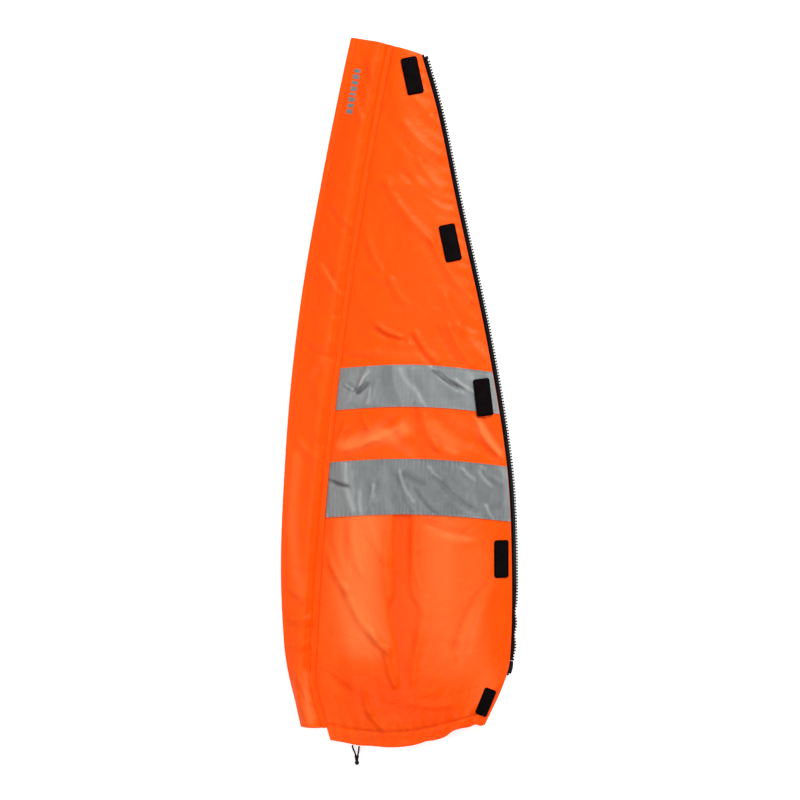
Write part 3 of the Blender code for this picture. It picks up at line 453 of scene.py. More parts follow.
def panel_relief(x, y, gain=1.0):
    """Rise of the shell's folds above its smooth padded form."""
    left, right = x - seam_x(y), EDGE.x_at(y) - x
    folds = ridges(x, y, PANEL_FOLDS, gain)
    folds += ripple(x, y, 5, 0.070, 0.016, 0.00055 * gain)
    folds -= PLEAT_DEPTH(y) * pleat_share(x, y) * gain
    beside_zip = np.exp(-((right / 0.016) ** 2)) * np.sin(tau * (y + 0.25 * x) / 0.0155 + 3 * np.sin(y * 31))
    folds += 0.0005 * gain * beside_zip * eased((y - 0.02) / 0.1)
    sides = eased(left / 0.011) * (0.25 + 0.75 * eased(right / 0.007))
    ends = 0.35 + 0.65 * eased((0.404 - y) / 0.015)
    return folds * sides * ends


def hem_share(x, y):
    """Distance above the hem's edge, near enough for the sewn tunnel."""
    across = np.clip((x - seam_x(y)) / (EDGE.x_at(y) - seam_x(y)), 0, 1)
    low_left, low_right = panel_spot(np.float64(0), np.float64(0)), panel_spot(np.float64(1), np.float64(0))
    edge = low_left[1] + (low_right[1] - low_left[1]) * across - HEM_DROP * np.sin(pi * across)
    return y - edge


def shell_height(x, y, gain=1.0):
    """Height of the shell's cloth."""
    left, right = seam_x(y) - SHELL_TUCK, EDGE.x_at(y)
    across = np.clip((x - left) / (right - left), 0.0, 1.0)
    height = EDGE_HEIGHT + CROWN(y) * np.sin(pi * across) + panel_relief(x, y, gain)
    above = hem_share(x, y)
    tunnel = np.exp(-(((above - HEM_TUNNEL + 0.002) / 0.0017) ** 2))
    gather = np.sin(tau * x / 0.0125 + 2.2 * np.sin(x * 61)) * np.exp(-(((above - 0.017) / 0.012) ** 2))
    inside = eased((x - left) / 0.006) * eased((right - x) / 0.006)
    height = height - (0.0016 * tunnel - 0.0006 * gather * gain) * inside
    stitched = np.exp(-(((right - x - 0.0030) / 0.0016) ** 2))
    height = height - 0.0005 * stitched
    return np.maximum(height, 0.0036)


def lining_under(x, y):
    inside = np.minimum(x - seam_x(y) + SHELL_TUCK, EDGE.x_at(y) - x)
    return LINING_LIFT * (1 - eased(inside / LINING_LIFT_WIDTH))


def shell_under(x, y):
    """The padding's underside, which clears the zip tapes sewn in at its sides."""
    inside = np.minimum(x - seam_x(y) + SHELL_TUCK, EDGE.x_at(y) - x)
    lift = 1 - eased((inside - TAPE_SEWN - 0.001) / 0.006)
    low = LINING_WALL + GAP
    return low + (EDGE_HEIGHT - SHELL_WALL - low) * lift


def flap_under(x, y):
    """Height of the storm flap's underside."""
    out, along = out_of_seam(x, y)
    swing = SEAM.swing(along)
    out, width = out + swing, FLAP_WIDTH(SEAM.point(along, 0.0)[1]) + swing
    last, height = FLAP_RISE[-1]
    far = height + (FLAP_EDGE_HEIGHT - height) * (out - last) / np.maximum(width - last, 0.001)
    return np.where(out <= last, RISE(out), far)


def flap_height(x, y, gain=1.0):
    """Height of the storm flap's upper cloth."""
    out, along = out_of_seam(x, y)
    swing = SEAM.swing(along)
    width = FLAP_WIDTH(SEAM.point(along, 0.0)[1])
    folds = ridges(x, y, FLAP_FOLDS, gain) + ripple(x, y, 9, 0.060, 0.014, 0.00045 * gain)
    folds = np.maximum(folds, -0.0011)
    inner, outer = eased((out + swing) / 0.010), eased((width - out) / 0.004)
    sewn = np.exp(-(((out + swing - TOPSTITCH) / 0.0011) ** 2))
    piping = np.exp(-(((out + swing - TOPSTITCH + 0.0024) / 0.0017) ** 2))
    crease = np.exp(-(((out + swing - 0.0008) / 0.0012) ** 2))
    hemmed = np.exp(-(((width - out - 0.006) / 0.0013) ** 2))
    height = flap_under(x, y) + FLAP_THICK + folds * inner * (0.4 + 0.6 * outer)
    return height - 0.0015 * sewn + 0.0010 * piping - 0.0007 * hemmed - 0.0006 * crease


# Making and shaping

def unpick():
    """Nothing selected, so that an operator acts on the new piece alone."""
    for thing in list(bpy.context.selected_objects):
        thing.select_set(False)


def pick(thing):
    unpick()
    thing.select_set(True)
    bpy.context.view_layer.objects.active = thing


def spots_of(piece):
    flat = np.empty(len(piece.data.vertices) * 3)
    piece.data.vertices.foreach_get("co", flat)
    return flat.reshape(-1, 3)


def put(piece, spots):
    piece.data.vertices.foreach_set("co", np.ascontiguousarray(spots, dtype=float).ravel())
    piece.data.update()


def named(piece, name):
    piece.name = name
    piece.data.name = name
    return piece


def finished(piece, material, smooth_angle=40):
    """Give a piece its finish, with faces outward and smooth shading up to an angle."""
    pick(piece)
    bpy.ops.object.mode_set(mode="EDIT")
    bpy.ops.mesh.select_all(action="SELECT")
    bpy.ops.mesh.normals_make_consistent(inside=False)
    bpy.ops.object.mode_set(mode="OBJECT")
    bpy.ops.object.shade_smooth_by_angle(angle=radians(smooth_angle))
    piece.data.materials.clear()
    piece.data.materials.append(material)
    unpick()
    return piece


def apply_bevel(piece, width, segments=2, angle=50):
    pick(piece)
    bevel = piece.modifiers.new("soft_edge", "BEVEL")
    bevel.width = width
    bevel.segments = segments
    bevel.limit_method = "ANGLE"
    bevel.angle_limit = radians(angle)
    bpy.ops.object.modifier_apply(modifier=bevel.name)


def two_layers(name, across, along):
    """A closed sheet of two layers on a unit square, from a grid and one extrusion."""
    unpick()
    bpy.ops.mesh.primitive_grid_add(x_subdivisions=across, y_subdivisions=along, size=1)
    piece = named(bpy.context.object, name)
    bpy.ops.object.mode_set(mode="EDIT")
    bpy.ops.mesh.select_all(action="SELECT")
    bpy.ops.mesh.extrude_region_move(TRANSFORM_OT_translate={"value": (0, 0, 1)})
    bpy.ops.object.mode_set(mode="OBJECT")
    return piece


def cloth(name, across, along, place, top, bottom):
    """A closed cloth piece, laid out by place(u, v) between two heights."""
    piece = two_layers(name, across, along)
    spots = spots_of(piece)
    u, v, upper = spots[:, 0] + 0.5, spots[:, 1] + 0.5, spots[:, 2] > 0.5
    x, y = place(np.clip(u, 0, 1), np.clip(v, 0, 1))
    z = np.where(upper, top(x, y), bottom(x, y))
    put(piece, np.stack((x, y, z), axis=1))
    return piece


def shade_map(piece, name, values):
    """Store a number for each vertex, which the finish reads."""
    layer = piece.data.attributes.new(name, "FLOAT", "POINT")
    layer.data.foreach_set("value", np.ascontiguousarray(values, dtype=np.float32))


def copies(name, pattern, places, material):
    """One mesh of many copies of a pattern piece, which is then removed."""
    shape = spots_of(pattern)
    faces = [tuple(face.vertices) for face in pattern.data.polygons]
    origins = np.array([origin for origin, axes in places])
    axes = np.array([axes for origin, axes in places])
    spots = origins[:, None, :] + np.einsum("vk,nkc->nvc", shape, axes)
    count = len(shape)
    made = [tuple(i + k * count for i in face) for k in range(len(places)) for face in faces]
    mesh = bpy.data.meshes.new(name)
    mesh.from_pydata(spots.reshape(-1, 3).tolist(), [], made)
    mesh.update()
    piece = bpy.data.objects.new(name, mesh)
    bpy.context.scene.collection.objects.link(piece)
    bpy.data.objects.remove(pattern, do_unlink=True)
    return finished(piece, material)


def stitch_pattern(length, thick):
    """One stitch, as an oval bead of thread."""
    unpick()
    bpy.ops.mesh.primitive_uv_sphere_add(segments=6, ring_count=4, radius=1)
    piece = bpy.context.object
    spots = spots_of(piece)
    put(piece, np.stack((spots[:, 2] * length / 2, spots[:, 1] * thick / 2, spots[:, 0] * thick / 2), axis=1))
    return piece


def stitch_places(x, y, height, pitch, sink=0.0):
    """Places of the stitches on a line over a surface."""
    steps = np.hypot(np.diff(x), np.diff(y))
    lengths = np.concatenate(([0.0], np.cumsum(steps)))
    count = max(1, int(lengths[-1] / pitch))
    at = (np.arange(count) + 0.5) * lengths[-1] / count
    reach = pitch * STITCH_REACH
    ends = []
    for shift in (-reach, reach):
        ex, ey = np.interp(at + shift, lengths, x), np.interp(at + shift, lengths, y)
        ends.append(np.stack((ex, ey, height(ex, ey) - sink), axis=1))
    places = []
    for a, b in zip(*ends):
        way = (b - a) / max(np.linalg.norm(b - a), 1e-9)
        side = np.cross((0.0, 0.0, 1.0), way)
        side = side / np.linalg.norm(side)
        places.append(((a + b) / 2, np.array((way, side, np.cross(way, side)))))
    return places


def sewn(name, lines, height, looks, material, sink=0.0):
    """Runs of stitches along lines over a surface, as one piece."""
    places = []
    for x, y in lines:
        places += stitch_places(np.asarray(x), np.asarray(y), height, looks.stitch_pitch, sink)
    pattern = stitch_pattern(looks.stitch_pitch * STITCH_SHARE, looks.thread)
    return copies(name, pattern, places, material)


# Finishes

class Wire:
    """A value in a finish. Sums, differences and products of it add Math nodes."""

    def __init__(self, finish, socket):
        self.finish = finish
        self.socket = socket

    def maths(self, how, *values):
        return self.finish.node("ShaderNodeMath", {"operation": how}, dict(enumerate(values)))

    def __add__(self, other):
        return self.maths("ADD", self, other)

    def __sub__(self, other):
        return self.maths("SUBTRACT", self, other)

    def __mul__(self, other):
        return self.maths("MULTIPLY", self, other)

    def __rsub__(self, other):
        return self.maths("SUBTRACT", other, self)

    def wave(self):
        return self.maths("SINE", self)

    def ribs(self, pitch):
        """Even waves, one to each pitch."""
        return (self * (tau / pitch)).wave()

    def size(self):
        return self.maths("ABSOLUTE", self)

    def between(self, low, high):
        return self.finish.node("ShaderNodeMapRange", {"clamp": True, "interpolation_type": "SMOOTHSTEP"},
                                {"Value": self, "From Min": low, "From Max": high})

    __radd__ = __add__
    __rmul__ = __mul__


class Finish:
    """A material and its nodes."""

    def __init__(self, name, colour, rough, metallic=0.0, **fixed):
        self.material = bpy.data.materials.new(name)
        self.material.use_nodes = True
        self.material.diffuse_color = (*colour, 1.0)
        self.tree = self.material.node_tree
        self.surface = self.tree.nodes["Principled BSDF"]
        self.surface.inputs["Base Color"].default_value = (*colour, 1.0)
        self.surface.inputs["Roughness"].default_value = rough
        self.surface.inputs["Metallic"].default_value = metallic
        for key, value in fixed.items():
            self.surface.inputs[key.replace("_", " ")].default_value = value

    def node(self, kind, settings, values, out=0):
        made = self.tree.nodes.new(kind)
        for key, value in settings.items():
            setattr(made, key, value)
        for key, value in values.items():
            if isinstance(value, Wire):
                self.tree.links.new(value.socket, made.inputs[key])
            else:
                made.inputs[key].default_value = value
        return Wire(self, made.outputs[out])

    def feed(self, name, value):
        self.tree.links.new(value.socket, self.surface.inputs[name])

    def shades(self, share, colour, dark, pale):
        """Colour the surface between a darker and a paler tint."""
        self.feed("Base Color", self.blend(share, tinted(colour, dark), tinted(colour, pale)))

    def place(self):
        """Object coordinates."""
        return self.node("ShaderNodeTexCoord", {}, {}, "Object")

    def parts(self, at):
        """The three values of a place."""
        made = self.tree.nodes.new("ShaderNodeSeparateXYZ")
        self.tree.links.new(at.socket, made.inputs[0])
        return [Wire(self, socket) for socket in made.outputs]

    def noise(self, at, size, detail=4.0, rough=0.5, twist=0.0):
        return self.node("ShaderNodeTexNoise", {"noise_dimensions": "3D"},
                         {"Vector": at, "Scale": 1 / size, "Detail": detail, "Roughness": rough,
                          "Distortion": twist}, "Fac")

    def cells(self, at, size):
        return self.node("ShaderNodeTexVoronoi", {}, {"Vector": at, "Scale": 1 / size}, "Distance")

    def marked(self, name):
        return self.node("ShaderNodeAttribute", {"attribute_name": name}, {}, "Fac")

    def blend(self, share, first, second):
        made = self.tree.nodes.new("ShaderNodeMix")
        made.data_type = "RGBA"
        self.tree.links.new(share.socket, made.inputs["Factor"])
        for socket, shade in zip((made.inputs[6], made.inputs[7]), (first, second)):
            if isinstance(shade, Wire):
                self.tree.links.new(shade.socket, socket)
            else:
                socket.default_value = (*shade, 1.0)
        return Wire(self, made.outputs[2])

    def bump(self, height, depth, under=None):
        values = {"Height": height, "Distance": depth, "Strength": 1.0}
        if under is not None:
            values["Normal"] = under
        return self.node("ShaderNodeBump", {}, values)


def tinted(colour, share):
    return tuple(min(1.0, part * share) for part in colour)


def coated_twill(name, colour, looks, deep=0.86):
    """Polyester twill with a coating: fine diagonal ribs, crumple marks and a soft gloss, with painted shade
    in its creases and painted light and shade from the sheen mark.
    """
    finish = Finish(name, colour, 0.46, Specular_IOR_Level=0.22, Specular_Tint=(1.0, 0.80, 0.45, 1.0))
    at = finish.place()
    x, y = finish.parts(at)[:2]
    turn = tau / looks.weave
    ribs = ((x + y) * turn).wave() * 0.5 + ((x - y * 0.5) * (turn * 1.9)).wave() * 0.28
    slub = finish.noise(at, looks.weave * 3.2, 2.0)
    crumple = finish.noise(at, 0.013, 4.0, 0.5, 0.5)
    slack = finish.noise(at, 0.034, 3.0, 0.5, 0.7)
    broad = finish.noise(at, 0.055, 3.0)
    patch = finish.noise(at, 0.17, 2.0)
    hollow = finish.marked("hollow")
    # random mottle, plus painted shade from the hollow mark in the creases and the pleat
    depth = (broad - 0.5) * 0.30 + (patch - 0.5) * 0.25 + ribs * 0.035 + (slub - 0.5) * 0.12 + hollow
    # painted light and painted shade from the sheen mark, with some random mottle: dull is the shaded tint,
    # bright the lit one
    painted_light_and_mottle = finish.marked("sheen") + (patch - 0.5) * 0.2
    red, green, blue = tinted(colour, 1.06)
    dull = finish.blend(painted_light_and_mottle.between(-1.0, 0.1), (red, green * 0.62, blue), (red, green, blue))
    bright = finish.blend(painted_light_and_mottle.between(0.0, 1.1), dull, (red, green * 2.45, green * 0.58))
    # darker tint, both for the mottle and for the painted shade in hollows
    shaded = (red * 0.98, green * deep * 0.7, blue)
    finish.feed("Base Color", finish.blend(depth.between(-0.35, 1.0), bright, shaded))
    finish.feed("Roughness", (crumple - 0.5) * 0.12 + ribs * 0.02 + (slack - 0.5) * 0.10 + 0.45)
    soft = finish.bump(crumple * 0.35 + slack * 1.3, 0.0020)
    finish.feed("Normal", finish.bump(ribs + slub * 0.5, looks.weave * 0.025, soft))
    return finish.material


def glass_bead_tape(name, colour):
    """Silver retroreflective cloth: tiny glass beads, soft facets and rubbed streaks, with painted shade in
    its creases and painted light and shade from the sheen mark.
    """
    finish = Finish(name, colour, 0.55, 0.10, Specular_IOR_Level=0.35)
    at = finish.place()
    x, y = finish.parts(at)[:2]
    beads = finish.noise(at, 0.0006, 1.0)
    smudge = finish.noise(at, 0.024, 3.0, 0.5, 0.8)
    lean = finish.node("ShaderNodeVectorMath", {"operation": "MULTIPLY"}, {0: at, 1: (1.0, 0.35, 1.0)})
    streak = finish.noise(lean, 0.008, 2.0, 0.45, 0.9)
    weave = (x.ribs(0.0009) + y.ribs(0.0009)) * 0.25
    sheen = finish.marked("sheen")
    hollow = finish.marked("hollow")
    # the hollow mark darkens: on the bands it is painted shade in creases, on the printed bars an even darker
    # tone of the ink; the sheen mark is painted light and shade
    light = (smudge - 0.5) * 0.40 + (streak - 0.5) * 0.34 + (beads - 0.5) * 0.10 - hollow * 0.6 + sheen
    dark, pale = (tinted(colour, share) for share in (0.50, 1.90))
    warm = (pale[0], pale[1] * 0.975, pale[2] * 0.93)
    finish.feed("Base Color", finish.blend(light.between(-1.0, 1.0), dark, warm))
    finish.feed("Roughness", (smudge - 0.5) * 0.14 + (streak - 0.5) * 0.12 + 0.50)
    folds = finish.bump(streak * 0.7 + smudge, 0.0009)
    finish.feed("Normal", finish.bump(weave + beads * 0.5, 0.00002, folds))
    return finish.material


def looped_pile(name, colour, hooks=False):
    """Hook-and-loop tape: a pile of loops or rows of hooks inside a woven selvedge."""
    finish = Finish(name, colour, 0.95, Specular_IOR_Level=0.03)
    at = finish.place()
    x, y = finish.parts(at)[:2]
    pile = finish.noise(at, 0.0011, 4.0, 0.7, 1.5)
    tufts = finish.cells(at, 0.0014 if hooks else 0.0022)
    rows = y.ribs(0.0016) * (0.8 if hooks else 0.12)
    wear_and_painted_light = finish.noise(at, 0.012, 3.0)
    rim = finish.marked("rim")
    weave = (x.ribs(0.0008) * y.ribs(0.0012))
    height = (pile * 0.8 + (1 - tufts) * 0.8 + rows * 0.35) * (1 - rim) + (weave * 0.25) * rim
    shade = (pile - 0.5) * 0.9 + (wear_and_painted_light - 0.5) * 0.6 - rim * 0.25
    finish.shades(shade.between(-0.5, 0.6), colour, 0.4, 1.9)
    finish.feed("Roughness", rim * -0.15 + (pile - 0.5) * 0.08 + 0.92)
    finish.feed("Normal", finish.bump(height, 0.0007))
    return finish.material


def herringbone_tape(name, colour):
    """Woven zip tape: a herringbone of fine ribs."""
    finish = Finish(name, colour, 0.85, Specular_IOR_Level=0.06)
    at = finish.place()
    x, y = finish.parts(at)[:2]
    zigzag = x.ribs(0.0046).size() * 0.0016
    ribs = (y + zigzag).ribs(0.0008)
    fluff = finish.noise(at, 0.0009, 3.0, 0.6)
    dust = finish.noise(at, 0.02, 3.0)
    shade = ribs * 0.3 + (fluff - 0.5) * 0.7 + (dust - 0.5) * 0.5
    finish.shades(shade.between(-0.7, 0.8), colour, 0.6, 2.2)
    finish.feed("Roughness", (fluff - 0.5) * 0.12 + 0.76)
    finish.feed("Normal", finish.bump(ribs * 0.6 + fluff * 0.5, 0.00022))
    return finish.material


def moulded_resin(name, colour, rough=0.38):
    """Moulded plastic: faint orange peel and rubbed patches."""
    finish = Finish(name, colour, rough, Specular_IOR_Level=0.14)
    at = finish.place()
    peel = finish.noise(at, 0.0012, 3.0, 0.55)
    rubbed = finish.noise(at, 0.009, 4.0, 0.65)
    scratch = finish.noise(at, 0.0005, 1.0)
    share = rubbed.between(0.52, 0.78)
    finish.feed("Base Color", finish.blend(share, colour, tinted(colour, 2.6)))
    finish.feed("Roughness", share * 0.22 + (scratch - 0.5) * 0.10 + rough)
    finish.feed("Normal", finish.bump(peel + scratch * 0.25, 0.00006))
    return finish.material


def coated_metal(name, colour):
    """Lacquered cast metal, brighter where it has rubbed through."""
    finish = Finish(name, colour, 0.34, 0.85, Coat_Weight=0.25, Coat_Roughness=0.2)
    at = finish.place()
    grain = finish.noise(at, 0.0007, 3.0, 0.6)
    wear_and_painted_light = finish.noise(at, 0.0042, 5.0, 0.7, 0.4)
    streak = finish.node("ShaderNodeVectorMath", {"operation": "MULTIPLY"}, {0: at, 1: (900.0, 130.0, 900.0)})
    lines = finish.noise(streak, 1.0, 2.0)
    share = wear_and_painted_light.between(0.50, 0.66)
    finish.feed("Base Color", finish.blend(share, colour, tinted(colour, 2.3)))
    finish.feed("Roughness", (lines - 0.5) * 0.22 - share * 0.08 + 0.36)
    finish.feed("Normal", finish.bump(grain * 0.6 + lines * 0.4, 0.00004))
    return finish.material


def lining_taffeta(name, colour):
    """Smooth lining cloth with a plain weave and slack crinkles."""
    finish = Finish(name, colour, 0.55, Sheen_Weight=0.3, Specular_IOR_Level=0.4)
    at = finish.place()
    x, y = finish.parts(at)[:2]
    weave = x.ribs(0.0007) * y.ribs(0.0007)
    slack = finish.noise(at, 0.018, 5.0, 0.55, 0.9)
    broad = finish.noise(at, 0.08, 3.0)
    shade = (slack - 0.5) * 0.8 + (broad - 0.5) * 0.6 + weave * 0.1
    finish.shades(shade.between(-0.6, 0.6), colour, 0.7, 1.5)
    finish.feed("Roughness", (slack - 0.5) * 0.2 + 0.55)
    finish.feed("Normal", finish.bump(weave, 0.00005, finish.bump(slack, 0.0018)))
    return finish.material


def braided_cord(name, colour):
    """Braided cord: crossing strands, from its object coordinates."""
    finish = Finish(name, colour, 0.8, Specular_IOR_Level=0.2)
    at = finish.place()
    x, y, z = finish.parts(at)
    right = (x + y).ribs(0.0011)
    left = (x - y + z).ribs(0.0011)
    fluff = finish.noise(at, 0.0004, 3.0, 0.6)
    strands = finish.node("ShaderNodeMath", {"operation": "MAXIMUM"}, {0: right, 1: left})
    shade = strands * 0.35 + (fluff - 0.5) * 0.7
    finish.shades(shade.between(-0.5, 0.6), colour, 0.6, 2.6)
    finish.feed("Roughness", (fluff - 0.5) * 0.15 + 0.8)
    finish.feed("Normal", finish.bump(strands * 0.7 + fluff * 0.4, 0.00018))
    return finish.material


def sewing_thread(name, colour):
    """Spun thread with a twist and some fluff."""
    finish = Finish(name, colour, 0.6, Sheen_Weight=0.3, Specular_IOR_Level=0.4)
    at = finish.place()
    x, y = finish.parts(at)[:2]
    twist = (x + y).ribs(0.00045)
    fluff = finish.noise(at, 0.0006, 3.0, 0.6)
    wear_and_painted_light = finish.noise(at, 0.03, 3.0)
    shade = twist * 0.3 + (fluff - 0.5) * 0.5 + (wear_and_painted_light - 0.5) * 0.5
    finish.shades(shade.between(-0.6, 0.6), colour, 0.72, 1.2)
    finish.feed("Roughness", (fluff - 0.5) * 0.15 + 0.6)
    finish.feed("Normal", finish.bump(twist * 0.6 + fluff * 0.3, 0.00008))
    return finish.material


def matt_paper(name, colour):
    """The plain pale floor."""
    finish = Finish(name, colour, 0.9, Specular_IOR_Level=0.1,
                    Emission_Color=(1.0, 1.0, 1.0, 1.0), Emission_Strength=0.4)
    at = finish.place()
    mottle = finish.noise(at, 0.4, 2.0)
    finish.feed("Base Color", finish.blend(mottle, tinted(colour, 0.985), colour))
    return finish.material


def finish_for(key, looks):
    """The finish for a kind of piece, made once."""
    ready = bpy.data.materials.get("finish_" + key)
    if ready:
        return ready
    name, black = "finish_" + key, tuple(looks.trim_colour)
    makers = {
        "shell": lambda: coated_twill(name, tuple(looks.shell_colour), looks),
        "facing": lambda: coated_twill(name, tinted(looks.shell_colour, 0.86), looks, 0.78),
        "tape": lambda: glass_bead_tape(name, tuple(looks.tape_colour)),
        "print": lambda: glass_bead_tape(name, tinted(looks.tape_colour, 0.9)),
        "loops": lambda: looped_pile(name, black),
        "hooks": lambda: looped_pile(name, tinted(black, 1.3), True),
        "zip_tape": lambda: herringbone_tape(name, black),
        "resin": lambda: moulded_resin(name, black),
        "film": lambda: moulded_resin(name, tinted(black, 1.6), 0.22),
        "metal": lambda: coated_metal(name, (0.22, 0.22, 0.23)),
        "lining": lambda: lining_taffeta(name, (0.030, 0.031, 0.036)),
        "cord": lambda: braided_cord(name, black),
        "thread": lambda: sewing_thread(name, tinted(looks.shell_colour, 0.92)),
        "grey_thread": lambda: sewing_thread(name, (0.30, 0.30, 0.30)),
        "black_thread": lambda: sewing_thread(name, tinted(black, 1.8)),
        "paper": lambda: matt_paper(name, tuple(looks.floor_colour)),
    }
    return makers[key]()


# Settings

class ExtensionPanelLooks(bpy.types.PropertyGroup):
    """Sizes and colours of the panel's looks."""

    shell_colour: bpy.props.FloatVectorProperty(
        name="Shell", description="Fluorescent shell cloth", subtype="COLOR", size=3,
        min=0.0, max=1.0, default=(0.97, 0.080, 0.0004))
    tape_colour: bpy.props.FloatVectorProperty(
        name="Bands", description="Silver reflective bands", subtype="COLOR", size=3,
        min=0.0, max=1.0, default=(0.190, 0.203, 0.212))
    trim_colour: bpy.props.FloatVectorProperty(
        name="Trim", description="Zips, patches and cord", subtype="COLOR", size=3,
        min=0.0, max=1.0, default=(0.0045, 0.0030, 0.0032))
    floor_colour: bpy.props.FloatVectorProperty(
        name="Floor", description="Plain floor", subtype="COLOR", size=3,
        min=0.0, max=1.0, default=(0.90, 0.90, 0.90))
    wrinkles: bpy.props.FloatProperty(
        name="Wrinkles", description="Depth of the cloth's folds", default=1.2, min=0.0, max=1.6,
        subtype="FACTOR")
    weave: bpy.props.FloatProperty(
        name="Weave", description="Spacing of the twill's ribs", default=0.0009, min=0.0003, max=0.003,
        unit="LENGTH", precision=5)
    stitch_pitch: bpy.props.FloatProperty(
        name="Stitch", description="Length of one stitch with its gap", default=0.0032, min=0.0015,
        max=0.006, unit="LENGTH", precision=5)
    thread: bpy.props.FloatProperty(
        name="Thread", description="Thickness of the sewing thread", default=0.0006, min=0.0003,
        max=0.0012, unit="LENGTH", precision=5)
    zip_curl: bpy.props.FloatProperty(
        name="Zip curl", description="How far the free zip turns on edge near its end",
        default=radians(58), min=0.0, max=radians(70), subtype="ANGLE")


class StudioSettings(bpy.types.PropertyGroup):
    """Camera and light."""

    lens: bpy.props.FloatProperty(
        name="Lens", description="Focal length in millimetres", default=100.0, min=30.0, max=200.0)
    distance: bpy.props.FloatProperty(
        name="Camera height", description="Height of the camera over the floor", default=2.667,
        min=0.5, max=8.0, unit="LENGTH")
    key_power: bpy.props.FloatProperty(
        name="Key light", description="Power of the large soft light", default=72.0, min=0.0,
        max=400.0, unit="POWER")
    sky: bpy.props.FloatProperty(
        name="Fill", description="Strength of the even white light", default=0.26, min=0.0, max=2.0)


class PieceOperator:
    """Shared settings of the operators that make pieces."""

    bl_options = {"REGISTER", "UNDO"}

    @property
    def looks(self):
        return bpy.context.scene.extension_panel_looks


# Stage

class EXTENSIONPANEL_OT_stage(PieceOperator, bpy.types.Operator):
    """Set up the camera straight above, the pale floor and the soft light"""

    bl_idname = "extensionpanel.stage"
    bl_label = "Stage"

    def execute(self, context):
        studio = context.scene.extension_panel_studio
        camera = bpy.data.cameras.new("camera")
        camera.lens = studio.lens
        camera.sensor_width = 36.0
        camera.clip_end = 30.0
        viewer = bpy.data.objects.new("camera", camera)
        viewer.location = (0.0003, -0.0094, studio.distance)
        context.scene.collection.objects.link(viewer)
        context.scene.camera = viewer
        unpick()
        bpy.ops.mesh.primitive_plane_add(size=9, location=(0, 0, -0.0003))
        floor = named(context.object, "floor")
        bpy.ops.object.transform_apply(location=True)
        floor.data.materials.append(finish_for("paper", self.looks))
        self.lamp("key_light", (1.05, 1.90, 1.75), studio.key_power, 1.1)
        self.lamp("front_light", (-0.15, -0.80, 2.55), studio.key_power * 0.34, 0.9)
        self.lamp("side_light", (-1.9, -0.5, 1.5), studio.key_power * 0.16, 1.6)
        world = bpy.data.worlds.new("studio")
        world.use_nodes = True
        world.node_tree.nodes["Background"].inputs["Color"].default_value = (1.0, 1.0, 1.0, 1.0)
        world.node_tree.nodes["Background"].inputs["Strength"].default_value = studio.sky
        context.scene.world = world
        context.scene.view_settings.view_transform = "Standard"
        return {"FINISHED"}

    def lamp(self, name, spot, power, size):
        light = bpy.data.lights.new(name, "AREA")
        light.energy = power
        light.size = size
        lamp = bpy.data.objects.new(name, light)
        lamp.location = spot
        lamp.rotation_euler = (-Vector(spot)).to_track_quat("-Z", "Y").to_euler()
        bpy.context.scene.collection.objects.link(lamp)


# Drawcord

def rounded_way(points, steps):
    """Places on a smooth curve through chosen points."""
    spots = [Vector(p) for p in points]
    made = []
    for k in range(len(spots) - 1):
        before, after = spots[max(k - 1, 0)], spots[min(k + 2, len(spots) - 1)]
        a, b = spots[k], spots[k + 1]
        for step in range(steps):
            t = step / steps
            made.append(a * (2 * t**3 - 3 * t**2 + 1) + b * (3 * t**2 - 2 * t**3)
                        + (b - before) / 2 * (t**3 - 2 * t**2 + t) + (after - a) / 2 * (t**3 - t**2))
    return made + [spots[-1]]


def round_cord(name, points, diameter, closed=False):
    """A round tube along points, as a mesh."""
    curve = bpy.data.curves.new(name, "CURVE")
    curve.dimensions = "3D"
    curve.bevel_depth = diameter / 2
    curve.bevel_resolution = 4
    curve.use_fill_caps = not closed
    spline = curve.splines.new("POLY")
    spline.points.add(len(points) - 1)
    for slot, spot in zip(spline.points, points):
        slot.co = (*spot, 1.0)
    spline.use_cyclic_u = closed
    piece = bpy.data.objects.new(name, curve)
    bpy.context.scene.collection.objects.link(piece)
    pick(piece)
    bpy.ops.object.convert(target="MESH")
    return bpy.context.object


